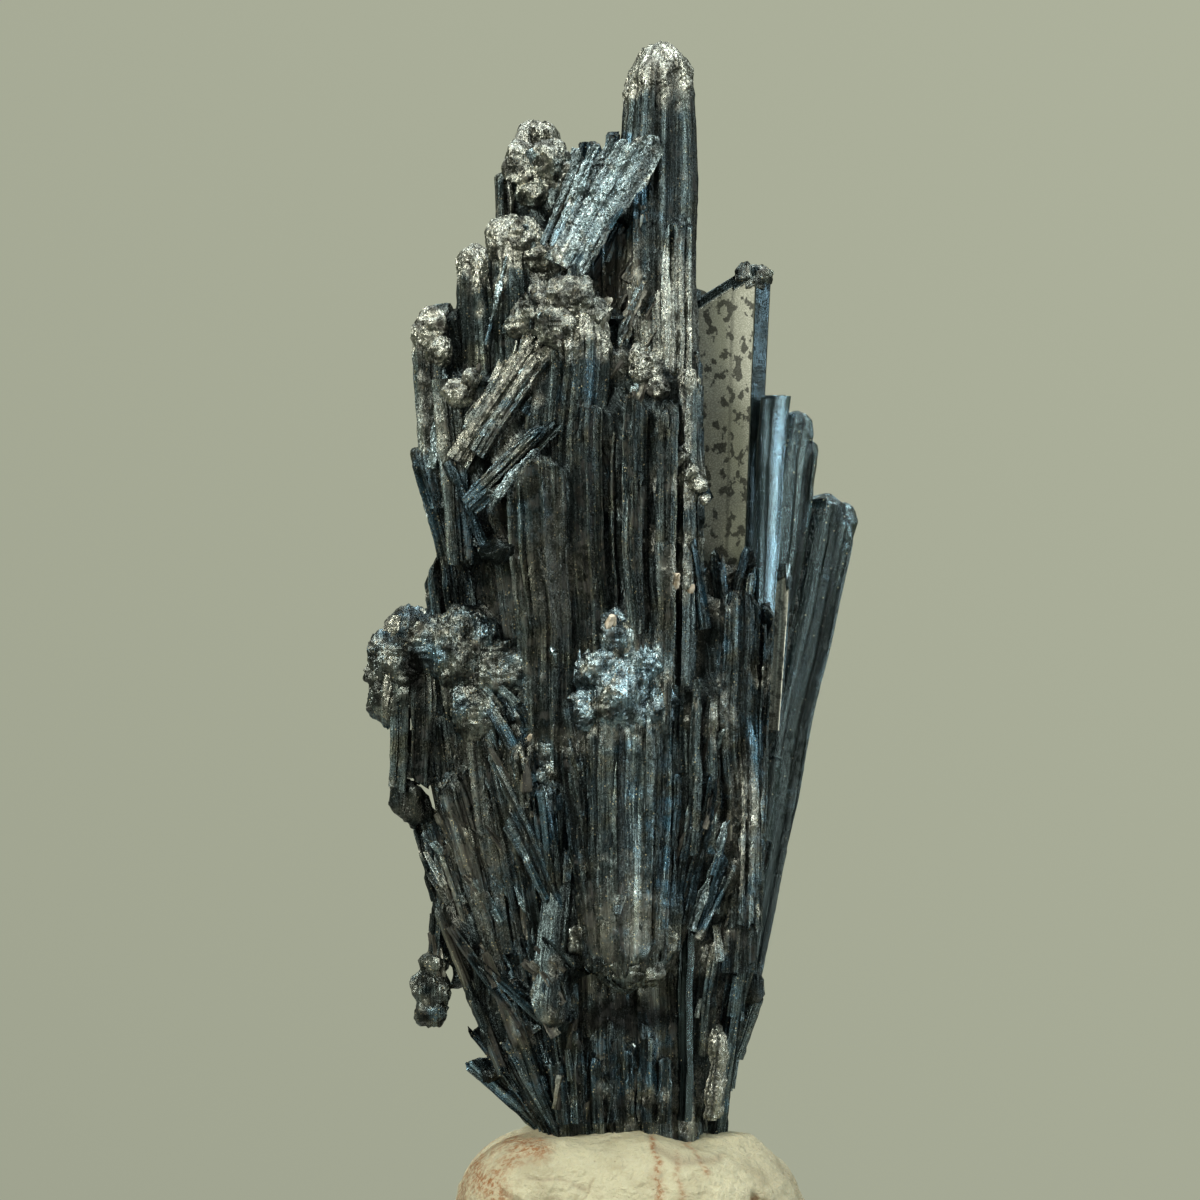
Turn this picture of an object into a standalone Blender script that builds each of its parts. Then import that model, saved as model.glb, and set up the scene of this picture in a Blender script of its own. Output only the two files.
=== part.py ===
"""Stibnite specimen: a fan of crystals grown together, standing in a lump of mounting putty.

Sizes are in millimetres until the last step. +Z is up, +X is to the viewer's right and the
viewer looks along +Y. The origin is the centre of the putty's flat underside.
"""
import math
import random
from typing import NamedTuple

import bmesh
import bpy
from mathutils import Matrix, Vector

MM = 0.001

# Putty lump: a rounded block, wider than deep, pressed flat underneath.
PUTTY_HALF_WIDTH = 17.8
PUTTY_HALF_DEPTH = 15.6
PUTTY_HALF_HEIGHT = 13.0
PUTTY_CENTRE_Z = 9.4
PUTTY_SQUARENESS = 3.0
PUTTY_SEGMENTS = 36
PUTTY_RINGS = 20

# The specimen's foot is pressed into the putty, which clears it all round by this much.
FOOT_GAP = 0.35

SECTION_JITTER = 0.1  # how far a corner of a crystal's section strays, as a share of its radius
SEED = 41

STIBNITE_COLOUR = (0.075, 0.088, 0.09, 1.0)
PUTTY_COLOUR = (0.62, 0.56, 0.40, 1.0)

# How a crystal ends. Each cutting plane leans from square by so many degrees, towards a turn
# about the axis (0 is the width's +X side), and crosses the axis that many widths above the tip.
ENDS = {
    "flat": ((5, 200, 0.0),),
    "broken": ((14, 160, 0.02), (20, 310, 0.05), (48, 15, 0.26)),
    "chisel": ((40, 75, 0.0), (44, 255, 0.02), (30, 170, 0.16)),
    "point": ((52, 20, 0.0), (56, 140, 0.0), (54, 260, 0.0)),
    "slant_left": ((33, 180, -0.3), (50, 190, 0.02), (35, 20, 0.0)),
    "slant_right": ((33, 0, -0.3), (50, 350, 0.02), (35, 170, 0.0)),
    "arch": ((22, 180, 0.0), (24, 0, 0.0), (56, 180, 0.2), (58, 0, 0.22), (35, 270, 0.2)),
    "dome": tuple((30, turn, 0.0) for turn in range(10, 370, 72))
    + tuple((62, turn, 0.34) for turn in range(46, 406, 72)),
}


class Crystal(NamedTuple):
    """One crystal: the middle of its foot and of its tip, its size there, and how it ends."""
    name: str
    foot: tuple
    tip: tuple
    size: tuple  # width and thickness at the tip
    roll: float = 0.0  # degrees about its own axis
    taper: float = 0.9  # size at the foot as a share of the size at the tip
    end: str = "broken"
    sides: int = 6


CORE = (
    Crystal("core_middle", (1.0, 0.0, 17.4), (0.0, 0.5, 92.0), (13.0, 11.0), 4, 0.85),
    Crystal("core_left", (-2.6, 0.5, 18.2), (-12.6, 1.0, 87.0), (11.5, 11.0), -6, 0.6),
    Crystal("core_right", (4.2, 1.0, 18.0), (10.0, 1.0, 73.0), (8.0, 10.0), 8, 0.8),
    Crystal("core_base", (-0.2, 0.6, 17.0), (-1.2, -0.6, 43.0), (18.6, 14.4), 0, 1.0, sides=10),
)

TOP = (
    Crystal("tall_finger", (2.5, -1.5, 58.0), (3.1, 1.0, 131.3), (7.9, 7.4), 8, 1.08, "dome", 8),
    Crystal("finger_front", (3.0, -5.0, 70.0), (3.9, -1.6, 113.5), (6.4, 4.4), -5, 1.0, "chisel"),
    Crystal("left_dome", (-6.5, 1.5, 88.0), (-9.8, 2.0, 123.2), (7.0, 6.2), 5, 1.0, "dome", 7),
    Crystal("left_dome_flank", (-10.6, 0.4, 90.0), (-12.3, 0.8, 118.4), (3.2, 4.6), 12, 1.0, "chisel"),
    Crystal("left_dome_shoulder", (-7.0, 0.0, 96.0), (-7.2, 0.5, 121.2), (3.6, 5.0), 0, 1.0, "arch"),
    Crystal("needle_lath_near", (-8.6, -2.4, 110.0), (-5.4, -1.2, 120.4), (1.2, 2.2), 20, 0.9, "chisel", 5),
    Crystal("needle_lath_far", (-7.4, -2.2, 107.0), (-3.8, -0.8, 120.8), (1.5, 2.6), -10, 0.9, "slant_left", 5),
    Crystal("needle_block", (-3.5, 0.0, 98.0), (-4.1, 0.6, 120.9), (3.2, 4.2), 0, 1.0, "broken"),
    Crystal("recess_wall", (-1.6, -0.4, 80.0), (-1.5, -0.2, 112.0), (3.4, 4.4), 10, 1.0, "broken"),
    Crystal("needle_block_right", (-1.5, 0.2, 104.0), (-1.8, 0.9, 122.2), (1.8, 2.4), 15, 1.0, "flat", 5),
    Crystal("leaning_slab", (-6.2, -5.2, 108.4), (1.7, -3.4, 122.8), (6.2, 2.4), 20, 0.62, "slant_left"),
    Crystal("leaning_slab_behind", (-6.9, -3.8, 108.8), (-1.9, -1.6, 121.0), (4.4, 2.2), 4, 0.6, "slant_left"),
    Crystal("upper_left_block", (-11.0, -2.0, 91.0), (-11.3, -1.6, 113.3), (5.7, 6.6), -8, 1.0, "dome", 7),
    Crystal("left_small", (-14.4, 0.0, 90.0), (-15.5, 0.5, 111.1), (4.3, 5.0), 10, 1.0, "dome"),
    Crystal("left_step", (-17.4, 1.5, 88.0), (-18.5, 2.0, 105.2), (4.0, 4.6), -12, 1.0, "chisel"),
    Crystal("left_crusted", (-18.6, -0.6, 84.0), (-20.0, -0.2, 103.8), (4.6, 5.6), 6, 0.9, "dome", 7),
    Crystal("central_dome", (-5.9, -3.5, 76.0), (-5.6, -4.2, 106.6), (8.2, 8.6), -4, 1.0, "dome", 9),
    Crystal("central_dome_shoulder", (-9.2, -3.3, 76.0), (-9.2, -3.9, 101.8), (4.6, 6.8), 6, 1.0, "slant_left", 7),
    Crystal("crossing_lath_low", (-17.4, -4.4, 88.6), (-9.4, -4.8, 101.6), (3.8, 3.6), 14, 0.9, "chisel"),
    Crystal("crossing_lath_mid", (-15.4, -6.0, 89.4), (-8.4, -7.0, 100.2), (2.8, 3.0), -12, 0.85, "chisel"),
    Crystal("crossing_lath_high", (-13.4, -4.8, 90.0), (-10.2, -4.6, 104.4), (2.4, 3.0), 18, 0.9, "slant_left"),
    Crystal("ribbon", (-16.0, -6.6, 84.4), (-6.8, -8.6, 93.6), (3.8, 2.8), 16, 0.8, "slant_left"),
    Crystal("ribbon_prism", (-9.0, -8.4, 90.0), (-14.1, -8.8, 84.0), (1.6, 1.7), 20, 1.0, "flat"),
)

LEFT = (
    Crystal("left_lath", (-17.5, -1.5, 76.5), (-20.8, -1.0, 90.6), (3.8, 3.8), -10, 0.9, "chisel"),
    Crystal("left_hanging_prism", (-18.2, -3.2, 97.0), (-16.8, -4.2, 78.4), (3.3, 3.5), 10, 1.0, "flat"),
    Crystal("left_blue_lath", (-18.2, -4.8, 88.5), (-13.6, -5.8, 78.6), (1.5, 1.5), 30, 1.0, "slant_left", 5),
    Crystal("left_neck", (-14.9, 0.0, 60.0), (-18.8, -1.0, 80.0), (5.4, 6.4), 0, 1.0, "arch"),
    Crystal("left_crust_mass", (-12.0, -2.0, 40.0), (-16.6, -3.4, 74.5), (8.6, 7.0), -6, 0.8, "dome", 7),
    Crystal("outer_lump", (-22.2, -0.8, 73.4), (-24.0, -1.6, 62.4), (4.6, 5.6), 20, 0.8, "dome", 7),
    Crystal("outer_lump_roof", (-17.0, 0.0, 66.0), (-22.0, -0.6, 74.0), (5.4, 5.0), -20, 1.0, "dome"),
    Crystal("outer_hanging_prism", (-22.8, -2.2, 68.0), (-23.1, -2.2, 55.8), (2.4, 2.6), 12, 1.0, "flat"),
    Crystal("inner_hanging_prism", (-20.8, -2.6, 68.0), (-20.9, -2.8, 55.4), (2.2, 2.4), -15, 1.0, "slant_left"),
    Crystal("left_fan_outer", (-15.0, 0.6, 36.0), (-19.7, -1.4, 64.0), (4.6, 5.4), 10, 0.9, "arch"),
    Crystal("left_knob", (-18.4, 0.4, 45.0), (-21.1, -0.4, 55.0), (4.0, 3.8), 0, 0.9, "dome"),
    Crystal("left_fan_long", (-6.6, -1.2, 19.6), (-18.0, -3.4, 58.0), (5.2, 6.0), -8, 0.7, "chisel"),
    Crystal("left_fan_middle", (-5.8, -2.4, 19.6), (-14.4, -5.2, 66.0), (5.6, 6.0), 12, 0.65, "broken"),
    Crystal("left_fan_inner", (-5.4, -3.0, 19.6), (-11.6, -6.8, 62.0), (4.8, 6.0), -10, 0.7, "chisel"),
    Crystal("left_fan_front", (-4.8, -3.2, 20.0), (-9.2, -8.2, 58.0), (4.4, 5.6), 8, 0.7, "slant_left"),
    Crystal("left_edge_plate", (-13.4, -1.6, 34.0), (-19.0, -1.8, 50.6), (3.2, 3.4), 0, 0.9, "chisel"),
    Crystal("left_edge_lath", (-12.6, -3.4, 28.0), (-19.2, -3.2, 44.6), (1.7, 2.2), 0, 0.9, "point", 5),
    Crystal("spindle_neck", (-18.0, 0.4, 50.0), (-19.4, 0.4, 37.0), (3.0, 3.0), 0, 0.8, "dome"),
    Crystal("spindle", (-20.2, 0.4, 40.4), (-19.8, 0.6, 31.8), (3.6, 3.3), 14, 0.9, "dome", 7),
)

FRONT = (
    Crystal("tombstone", (-8.0, -5.2, 53.0), (-8.6, -8.8, 89.8), (7.2, 6.4), 4, 0.8, "arch", 8),
    Crystal("column_first", (-3.8, -7.2, 62.0), (-4.3, -6.6, 94.6), (4.4, 6.0), 8, 0.85, "broken"),
    Crystal("column_second", (-1.2, -6.2, 62.0), (-1.4, -5.2, 93.2), (2.4, 5.0), 0, 0.9, "chisel"),
    Crystal("column_third", (0.8, -8.0, 62.0), (0.8, -6.8, 96.2), (3.8, 6.4), -6, 0.8, "slant_right"),
    Crystal("column_fourth", (3.2, -8.2, 62.0), (3.9, -7.0, 95.2), (3.0, 6.0), 10, 0.85, "chisel"),
    Crystal("column_fifth", (5.2, -7.2, 58.0), (5.9, -5.4, 98.2), (2.4, 6.0), -10, 0.9, "broken"),
    Crystal("column_sixth", (7.0, -4.2, 52.0), (7.7, -2.8, 100.0), (2.8, 6.0), 5, 0.9, "slant_right"),
    Crystal("column_seventh", (9.2, -3.8, 68.0), (8.8, -3.4, 89.4), (2.4, 4.2), 14, 0.9, "point"),
    Crystal("shield", (-1.2, -8.6, 68.0), (-0.6, -8.4, 35.8), (10.6, 7.6), 0, 1.24, "dome", 12),
    Crystal("shield_rib_left", (-5.8, -9.6, 63.6), (-3.6, -9.0, 37.4), (3.4, 5.6), -14, 1.1, "dome"),
    Crystal("shield_rib_middle", (-1.0, -10.6, 66.0), (-0.5, -10.0, 36.6), (3.6, 5.2), 6, 1.1, "dome"),
    Crystal("shield_rib_right", (3.4, -9.8, 64.6), (2.5, -9.2, 37.2), (3.4, 5.6), 14, 1.1, "dome"),
    Crystal("glossy_lump", (-6.4, -6.4, 47.0), (-8.0, -8.2, 32.2), (4.7, 4.8), 0, 0.8, "dome", 8),
    Crystal("slim_prism", (5.6, -8.2, 50.0), (6.7, -9.4, 67.2), (2.0, 2.4), 12, 1.0, "flat"),
    Crystal("slim_prism_behind", (7.4, -6.8, 50.0), (8.4, -7.4, 66.0), (2.2, 3.0), -14, 0.9, "chisel"),
    Crystal("fibre_lath", (4.8, -7.2, 44.0), (8.2, -8.0, 58.8), (2.8, 3.0), 0, 0.5, "slant_right"),
    Crystal("fibre_lath_blue", (6.6, -7.2, 41.4), (9.2, -8.2, 50.4), (1.8, 2.0), 0, 0.6, "point", 5),
)

RIGHT = (
    Crystal("mirror_blade", (9.4, 0.8, 62.0), (10.7, 2.4, 109.0), (7.6, 3.2), 3, 0.66, "slant_left"),
    Crystal("mirror_blade_cap", (11.8, 2.4, 98.0), (13.2, 2.6, 108.9), (2.4, 2.8), 0, 0.9, "dome"),
    Crystal("round_prism", (12.6, -1.8, 64.0), (14.4, -1.2, 95.6), (3.5, 3.6), 0, 0.55, "flat", 10),
    Crystal("curved_blade", (14.0, 0.4, 68.0), (16.8, 0.8, 94.8), (4.6, 3.4), 0, 0.5, "arch"),
    Crystal("curved_blade_edge", (15.4, 0.8, 74.0), (18.1, 1.0, 91.8), (2.7, 2.8), 0, 0.7, "arch"),
    Crystal("far_right_blade", (11.1, 4.0, 36.0), (19.9, 5.4, 86.8), (7.4, 4.6), -4, 0.9, "arch"),
    Crystal("far_right_edge", (18.6, 5.0, 74.0), (22.1, 5.6, 86.2), (2.8, 3.6), 8, 0.9, "arch"),
    Crystal("far_right_root", (8.6, 3.2, 26.0), (13.8, 4.2, 60.0), (5.2, 5.4), 5, 0.8, "broken"),
    Crystal("right_root_blade", (5.8, 1.6, 18.6), (12.4, 3.0, 52.0), (5.4, 6.4), 6, 0.72, "broken"),
    Crystal("right_flake", (10.8, 2.2, 29.4), (12.6, 2.4, 35.7), (2.0, 1.6), 0, 0.7, "chisel", 5),
    Crystal("right_bundle_high", (10.2, -4.0, 38.0), (10.6, -5.6, 76.2), (5.6, 6.6), -8, 0.95, "arch", 7),
    Crystal("right_bundle_edge", (11.8, -2.4, 42.0), (13.0, -3.2, 75.2), (3.0, 5.6), 8, 0.9, "chisel"),
    Crystal("right_block", (11.0, -6.4, 61.0), (10.8, -6.2, 42.2), (4.8, 5.6), -5, 1.0, "flat"),
)

BASE = (
    Crystal("low_flake", (-7.8, 1.4, 22.0), (-16.3, 1.2, 30.2), (2.7, 1.6), 10, 0.8, "slant_right"),
    Crystal("low_flake_inner", (-7.0, 0.8, 21.0), (-12.6, 0.4, 28.0), (3.0, 2.2), -10, 0.8, "slant_left"),
    Crystal("low_blue_blade", (-7.2, -2.2, 21.6), (-16.4, -2.8, 33.0), (1.9, 1.8), 24, 1.0, "point", 5),
    Crystal("low_dark_blade", (-6.4, -2.6, 20.6), (-13.0, -4.0, 32.0), (3.4, 2.6), -12, 1.0, "slant_left"),
    Crystal("low_left_wall", (-6.0, -2.4, 20.0), (-12.8, -4.2, 37.0), (4.2, 4.8), 6, 0.9, "chisel"),
    Crystal("smooth_column", (5.1, -5.4, 23.4), (5.5, -6.4, 42.6), (1.9, 3.2), 10, 0.9, "flat"),
    Crystal("bright_column", (7.9, -4.0, 23.4), (8.9, -5.0, 33.2), (2.3, 3.2), -12, 0.9, "slant_right"),
    Crystal("feather_column", (6.8, -4.4, 30.0), (8.2, -6.0, 42.0), (3.0, 3.4), 16, 0.8, "chisel"),
    Crystal("right_root_column", (8.0, -1.0, 20.0), (11.3, -3.2, 43.0), (3.2, 4.0), 4, 0.95, "broken"),
)
LATHS = (
    Crystal("bright_lath", (-2.6, -4.4, 98.4), (0.0, -4.8, 102.9), (1.0, 1.3), 20, 0.9, "chisel", 5),
    Crystal("bright_lath_behind", (-1.8, -4.0, 99.6), (1.4, -3.8, 106.4), (1.4, 1.6), -20, 0.9, "slant_left", 5),
    Crystal("upper_left_needle", (-14.4, -4.6, 100.4), (-12.1, -4.4, 109.8), (0.8, 1.1), 15, 0.9, "point", 5),
    Crystal("left_shoulder_lath", (-19.6, -2.6, 88.0), (-18.0, -3.2, 97.6), (1.7, 2.0), -10, 0.8, "chisel", 5),
    Crystal("crusted_lath", (5.0, -7.8, 90.4), (7.9, -6.2, 84.6), (1.6, 1.8), 12, 0.9, "chisel", 5),
    Crystal("hollow_lath", (-0.9, -5.8, 84.0), (-3.2, -6.2, 92.0), (1.6, 2.2), 18, 0.9, "slant_right", 5),
    Crystal("mirror_foot_lath", (9.6, -2.8, 73.4), (11.8, -2.4, 80.8), (1.3, 1.5), -16, 0.9, "point", 5),
    Crystal("mirror_foot_spike", (11.2, -3.2, 72.0), (12.2, -2.4, 78.6), (1.2, 1.2), 30, 0.9, "chisel", 5),
    Crystal("slanting_lath_long", (-6.4, -8.0, 43.2), (-14.0, -7.4, 60.0), (1.7, 2.2), 20, 0.9, "chisel", 5),
    Crystal("slanting_lath_short", (-8.4, -7.6, 45.2), (-12.6, -7.6, 54.0), (1.9, 2.2), -16, 0.8, "slant_left", 5),
    Crystal("slanting_lath_high", (-10.0, -7.2, 56.6), (-15.4, -6.4, 66.4), (1.8, 2.4), 12, 0.9, "point", 5),
    Crystal("low_slanting_lath", (-11.0, -5.2, 32.6), (-18.2, -4.2, 42.8), (1.6, 2.0), 24, 0.8, "chisel", 5),
    Crystal("low_crossing_lath", (-9.0, -6.0, 33.4), (-15.6, -5.4, 39.8), (1.7, 1.8), -12, 0.8, "slant_left", 5),
    Crystal("hollow_splinter", (-0.2, -7.6, 34.6), (-0.4, -7.8, 38.8), (0.7, 0.8), 0, 0.9, "flat", 5),
    Crystal("right_seam_lath", (7.4, -6.6, 72.0), (6.0, -7.0, 81.0), (1.5, 2.4), 10, 0.9, "chisel", 5),
)
CRUST_SHAPE = (0.95, 0.8, 1.15)  # of a boulder of crust, across, front to back and up
# Ends with a lumpy crust: how many boulders each has, and their radius.
CRUSTED_ENDS = {
    "tall_finger": (5, 1.5),
    "left_dome": (4, 1.4),
    "upper_left_block": (4, 1.2),
    "left_crusted": (4, 1.1),
    "central_dome": (4, 1.5),
    "left_crust_mass": (4, 1.6),
    "outer_lump": (2, 1.2),
    "mirror_blade_cap": (2, 0.8),
}
# Loose-looking masses of crust and broken crystal: where each boulder sits, and its radius.
CRUST_MASSES = {
    "outer_mass": (((-23.0, -1.2, 68.6), 3.8), ((-21.8, -0.8, 71.4), 3.2), ((-23.4, -1.6, 65.4), 2.9)),
    "left_mass": (((-16.4, -4.4, 69.6), 4.4), ((-12.2, -6.2, 67.6), 4.2), ((-19.4, -2.6, 70.6), 3.4),
                  ((-14.6, -6.0, 63.4), 3.4)),
    "middle_mass": (((-3.0, -8.3, 70.9), 4.0), ((1.5, -8.3, 70.9), 4.0), ((-0.8, -9.2, 67.4), 4.6),
                    ((3.2, -8.8, 66.4), 3.2), ((-4.6, -9.0, 65.8), 3.2)),
}
# The stepped broken prisms in the hollow above the putty: where each stands and how high it goes.
STEP_WIDTH = 2.1
STEP_FOOT_Z = 23.3
STEP_TIPS = ((-7.0, 29.4), (-5.4, 32.6), (-3.5, 30.2), (-1.9, 34.0), (-0.2, 31.2), (1.5, 33.2), (3.4, 29.8))

BACK = (
    Crystal("back_tall", (2.0, 4.6, 40.0), (3.4, 6.0, 113.0), (7.0, 5.4), 10, 0.85, "chisel"),
    Crystal("back_left_tall", (-5.0, 5.2, 36.0), (-8.6, 7.4, 105.0), (6.8, 5.4), -8, 0.85, "dome"),
    Crystal("back_left_mid", (-8.0, 4.6, 34.0), (-15.0, 6.4, 95.0), (6.4, 5.6), 6, 0.75, "slant_left"),
    Crystal("back_left_low", (-9.0, 3.4, 28.0), (-18.6, 4.8, 79.0), (5.8, 5.6), -14, 0.75, "chisel"),
    Crystal("back_middle", (-1.0, 7.0, 30.0), (-2.4, 10.4, 93.0), (7.2, 5.6), 14, 0.75, "arch"),
    Crystal("back_middle_right", (3.0, 7.4, 28.0), (4.8, 11.2, 85.0), (6.6, 5.4), -6, 0.75, "chisel"),
    Crystal("back_right_tall", (6.0, 5.6, 26.0), (10.4, 7.6, 93.0), (5.8, 5.0), 12, 0.8, "slant_right"),
    Crystal("back_right_mid", (7.4, 4.8, 24.0), (14.6, 8.0, 76.0), (5.6, 5.0), -10, 0.8, "dome"),
    Crystal("back_left_root", (-5.0, 3.4, 20.0), (-14.0, 8.0, 60.0), (5.8, 5.6), 8, 0.7, "broken"),
    Crystal("back_middle_root_left", (-2.8, 3.8, 19.6), (-7.6, 11.6, 71.0), (6.4, 5.6), -12, 0.65, "slant_left"),
    Crystal("back_middle_root", (0.6, 4.0, 19.2), (0.6, 12.6, 63.0), (6.8, 5.8), 4, 0.65, "dome"),
    Crystal("back_right_root", (4.2, 3.6, 19.4), (8.8, 11.0, 58.0), (6.0, 5.6), -6, 0.7, "chisel"),
    Crystal("back_low_left", (-5.0, 4.0, 20.6), (-10.4, 8.6, 43.0), (4.4, 4.2), 10, 0.8, "chisel"),
    Crystal("back_low_right", (2.6, 4.6, 20.4), (4.4, 10.8, 40.0), (5.0, 4.4), -10, 0.8, "slant_right"),
    Crystal("left_side_blade", (-6.6, 2.6, 20.4), (-16.8, 3.0, 52.0), (3.6, 5.4), 0, 0.8, "chisel"),
    Crystal("right_side_blade", (6.2, 2.8, 20.0), (13.6, 6.0, 63.0), (3.4, 5.2), 0, 0.8, "broken"),
)


def clear_scene():
    for obj in list(bpy.data.objects):
        bpy.data.objects.remove(obj)


def new_collection(name):
    collection = bpy.data.collections.new(name)
    bpy.context.scene.collection.children.link(collection)
    return collection


def material(name, colour, roughness, metallic):
    made = bpy.data.materials.new(name)
    made.use_nodes = True
    surface = made.node_tree.nodes["Principled BSDF"]
    surface.inputs["Base Color"].default_value = colour
    surface.inputs["Roughness"].default_value = roughness
    surface.inputs["Metallic"].default_value = metallic
    return made


def new_object(name, bm, collection, surface=None):
    mesh = bpy.data.meshes.new(name)
    bm.to_mesh(mesh)
    bm.free()
    obj = bpy.data.objects.new(name, mesh)
    collection.objects.link(obj)
    if surface:
        mesh.materials.append(surface)
    return obj


def end_planes(crystal, length):
    """The planes that end a crystal, as a point and an outward normal in its own axes."""
    width = crystal.size[0]
    for lean, turn, lift in ENDS[crystal.end]:
        lean, turn = math.radians(lean), math.radians(turn)
        normal = Vector((math.sin(lean) * math.cos(turn), math.sin(lean) * math.sin(turn), math.cos(lean)))
        yield Vector((0, 0, length + lift * width)), normal


def crystal_matrix(crystal):
    """Stands a crystal on its foot: Z along its length, X its width, Y its thickness."""
    foot, tip = Vector(crystal.foot), Vector(crystal.tip)
    along = (tip - foot).normalized()
    across = Vector((0, 1, 0)).cross(along).normalized()
    if along.z < 0:
        across.negate()
    axes = Matrix((across, along.cross(across), along)).transposed().to_4x4()
    return Matrix.Translation(foot) @ axes @ Matrix.Rotation(math.radians(crystal.roll), 4, "Z")


def crystal_body(crystal, grow=0.0):
    """A tapered prism of uneven section, cut by the planes of its end. All of it is convex."""
    width, thickness = (side + 2 * grow for side in crystal.size)
    length = (Vector(crystal.tip) - Vector(crystal.foot)).length + grow
    draw = random.Random(f"{SEED}{crystal.name}")
    reach = [1 + draw.uniform(-SECTION_JITTER, SECTION_JITTER) for _ in range(crystal.sides)]
    bm = bmesh.new()
    bmesh.ops.create_cone(bm, cap_ends=True, segments=crystal.sides,
                          radius1=crystal.taper / 2, radius2=0.5, depth=length + width)
    half_step = math.pi / crystal.sides
    for corner in bm.verts:
        turn = math.atan2(corner.co.y, corner.co.x) % math.tau
        share = reach[round(turn / (2 * half_step)) % crystal.sides]
        corner.co.x *= width * share
        corner.co.y *= thickness * share
        corner.co.z += (length + width) / 2 - grow
    for point, normal in end_planes(crystal, length - grow):
        point.z += grow
        geometry = bm.verts[:] + bm.edges[:] + bm.faces[:]
        cut = bmesh.ops.bisect_plane(bm, geom=geometry, dist=1e-5, plane_co=point,
                                     plane_no=normal, clear_outer=True)["geom_cut"]
        rim = [edge for edge in cut if isinstance(edge, bmesh.types.BMEdge)]
        if rim:
            bmesh.ops.contextual_create(bm, geom=rim)
    bmesh.ops.recalc_face_normals(bm, faces=bm.faces[:])
    bm.transform(Matrix.Scale(MM, 4) @ crystal_matrix(crystal))
    return bm


def step_prisms():
    """The short broken prisms above the putty, each turned a little from the last."""
    for index, (x, tip_z) in enumerate(STEP_TIPS):
        yield Crystal(f"step_prism_{index + 1}", (x * 0.92, -6.2, STEP_FOOT_Z), (x, -7.0, tip_z),
                      (STEP_WIDTH, 3.6), 12 * (-1) ** index, 1.0, "broken")


def crust_lump(name, middle, radius):
    """A boulder of crust with flat faces: uneven, taller than wide and shallow from front to back."""
    draw = random.Random(f"{SEED}{name}")
    bm = bmesh.new()
    bmesh.ops.create_icosphere(bm, subdivisions=1, radius=radius)
    bm.transform(Matrix.Rotation(draw.uniform(0, math.tau), 4, Vector((draw.random(), 1, draw.random()))))
    for corner in bm.verts:
        corner.co *= draw.uniform(0.8, 1.1)
    bmesh.ops.scale(bm, vec=CRUST_SHAPE, verts=bm.verts[:])
    bm.transform(Matrix.Scale(MM, 4) @ Matrix.Translation(middle))
    return bm


def crust_lumps(crystal, count, radius):
    """Boulders spread over a crystal's crusted end, half sunk in it."""
    draw = random.Random(f"{SEED}{crystal.name} crust")
    length = (Vector(crystal.tip) - Vector(crystal.foot)).length
    for index in range(count):
        turn = math.tau * (index + draw.uniform(0.2, 0.8)) / count
        out, drop = draw.uniform(0.12, 0.36), draw.uniform(0.06, 0.5)
        place = Vector((crystal.size[0] * out * math.cos(turn), crystal.size[1] * out * math.sin(turn),
                        length - (drop * out / 0.36 + 0.08) * crystal.size[0]))
        size = radius * draw.uniform(0.75, 1.2)
        yield crust_lump(f"{crystal.name}_crust_{index + 1}", crystal_matrix(crystal) @ place, size)


def helper(obj):
    obj.hide_render = True
    obj.display_type = "WIRE"


def join_by_boolean(obj, operation, others):
    cut = obj.modifiers.new(operation.lower(), "BOOLEAN")
    cut.operand_type = "COLLECTION"
    cut.operation = operation
    cut.solver = "EXACT"
    cut.collection = others


def build_spray(parts, crystals, surface):
    """One solid: every crystal is united with the first one of the core."""
    grown = new_collection("grown_crystals")
    for crystal in crystals[1:]:
        helper(new_object(crystal.name, crystal_body(crystal), grown))
    for crystal in crystals:
        if crystal.name in CRUSTED_ENDS:
            for index, lump in enumerate(crust_lumps(crystal, *CRUSTED_ENDS[crystal.name])):
                helper(new_object(f"{crystal.name}_crust_{index + 1}", lump, grown))
    for name, boulders in CRUST_MASSES.items():
        for index, (middle, radius) in enumerate(boulders):
            label = f"{name}_{index + 1}"
            helper(new_object(label, crust_lump(label, middle, radius), grown))
    spray = new_object("stibnite_spray", crystal_body(crystals[0]), parts, surface)
    join_by_boolean(spray, "UNION", grown)
    return spray


def putty_radius(direction):
    """Distance from the lump's middle to its skin, that way: a squared-off ellipsoid with thumb marks."""
    x, y, z = direction
    squared = (abs(x / PUTTY_HALF_WIDTH) ** PUTTY_SQUARENESS + abs(y / PUTTY_HALF_DEPTH) ** PUTTY_SQUARENESS
               + abs(z / PUTTY_HALF_HEIGHT) ** PUTTY_SQUARENESS)
    turn = math.atan2(y, x)
    dents = 1 + 0.022 * math.sin(3 * turn + 0.8) + 0.018 * math.sin(5 * turn + 2.5 * z) - 0.07 * x * z
    return dents * squared ** (-1 / PUTTY_SQUARENESS)


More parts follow.
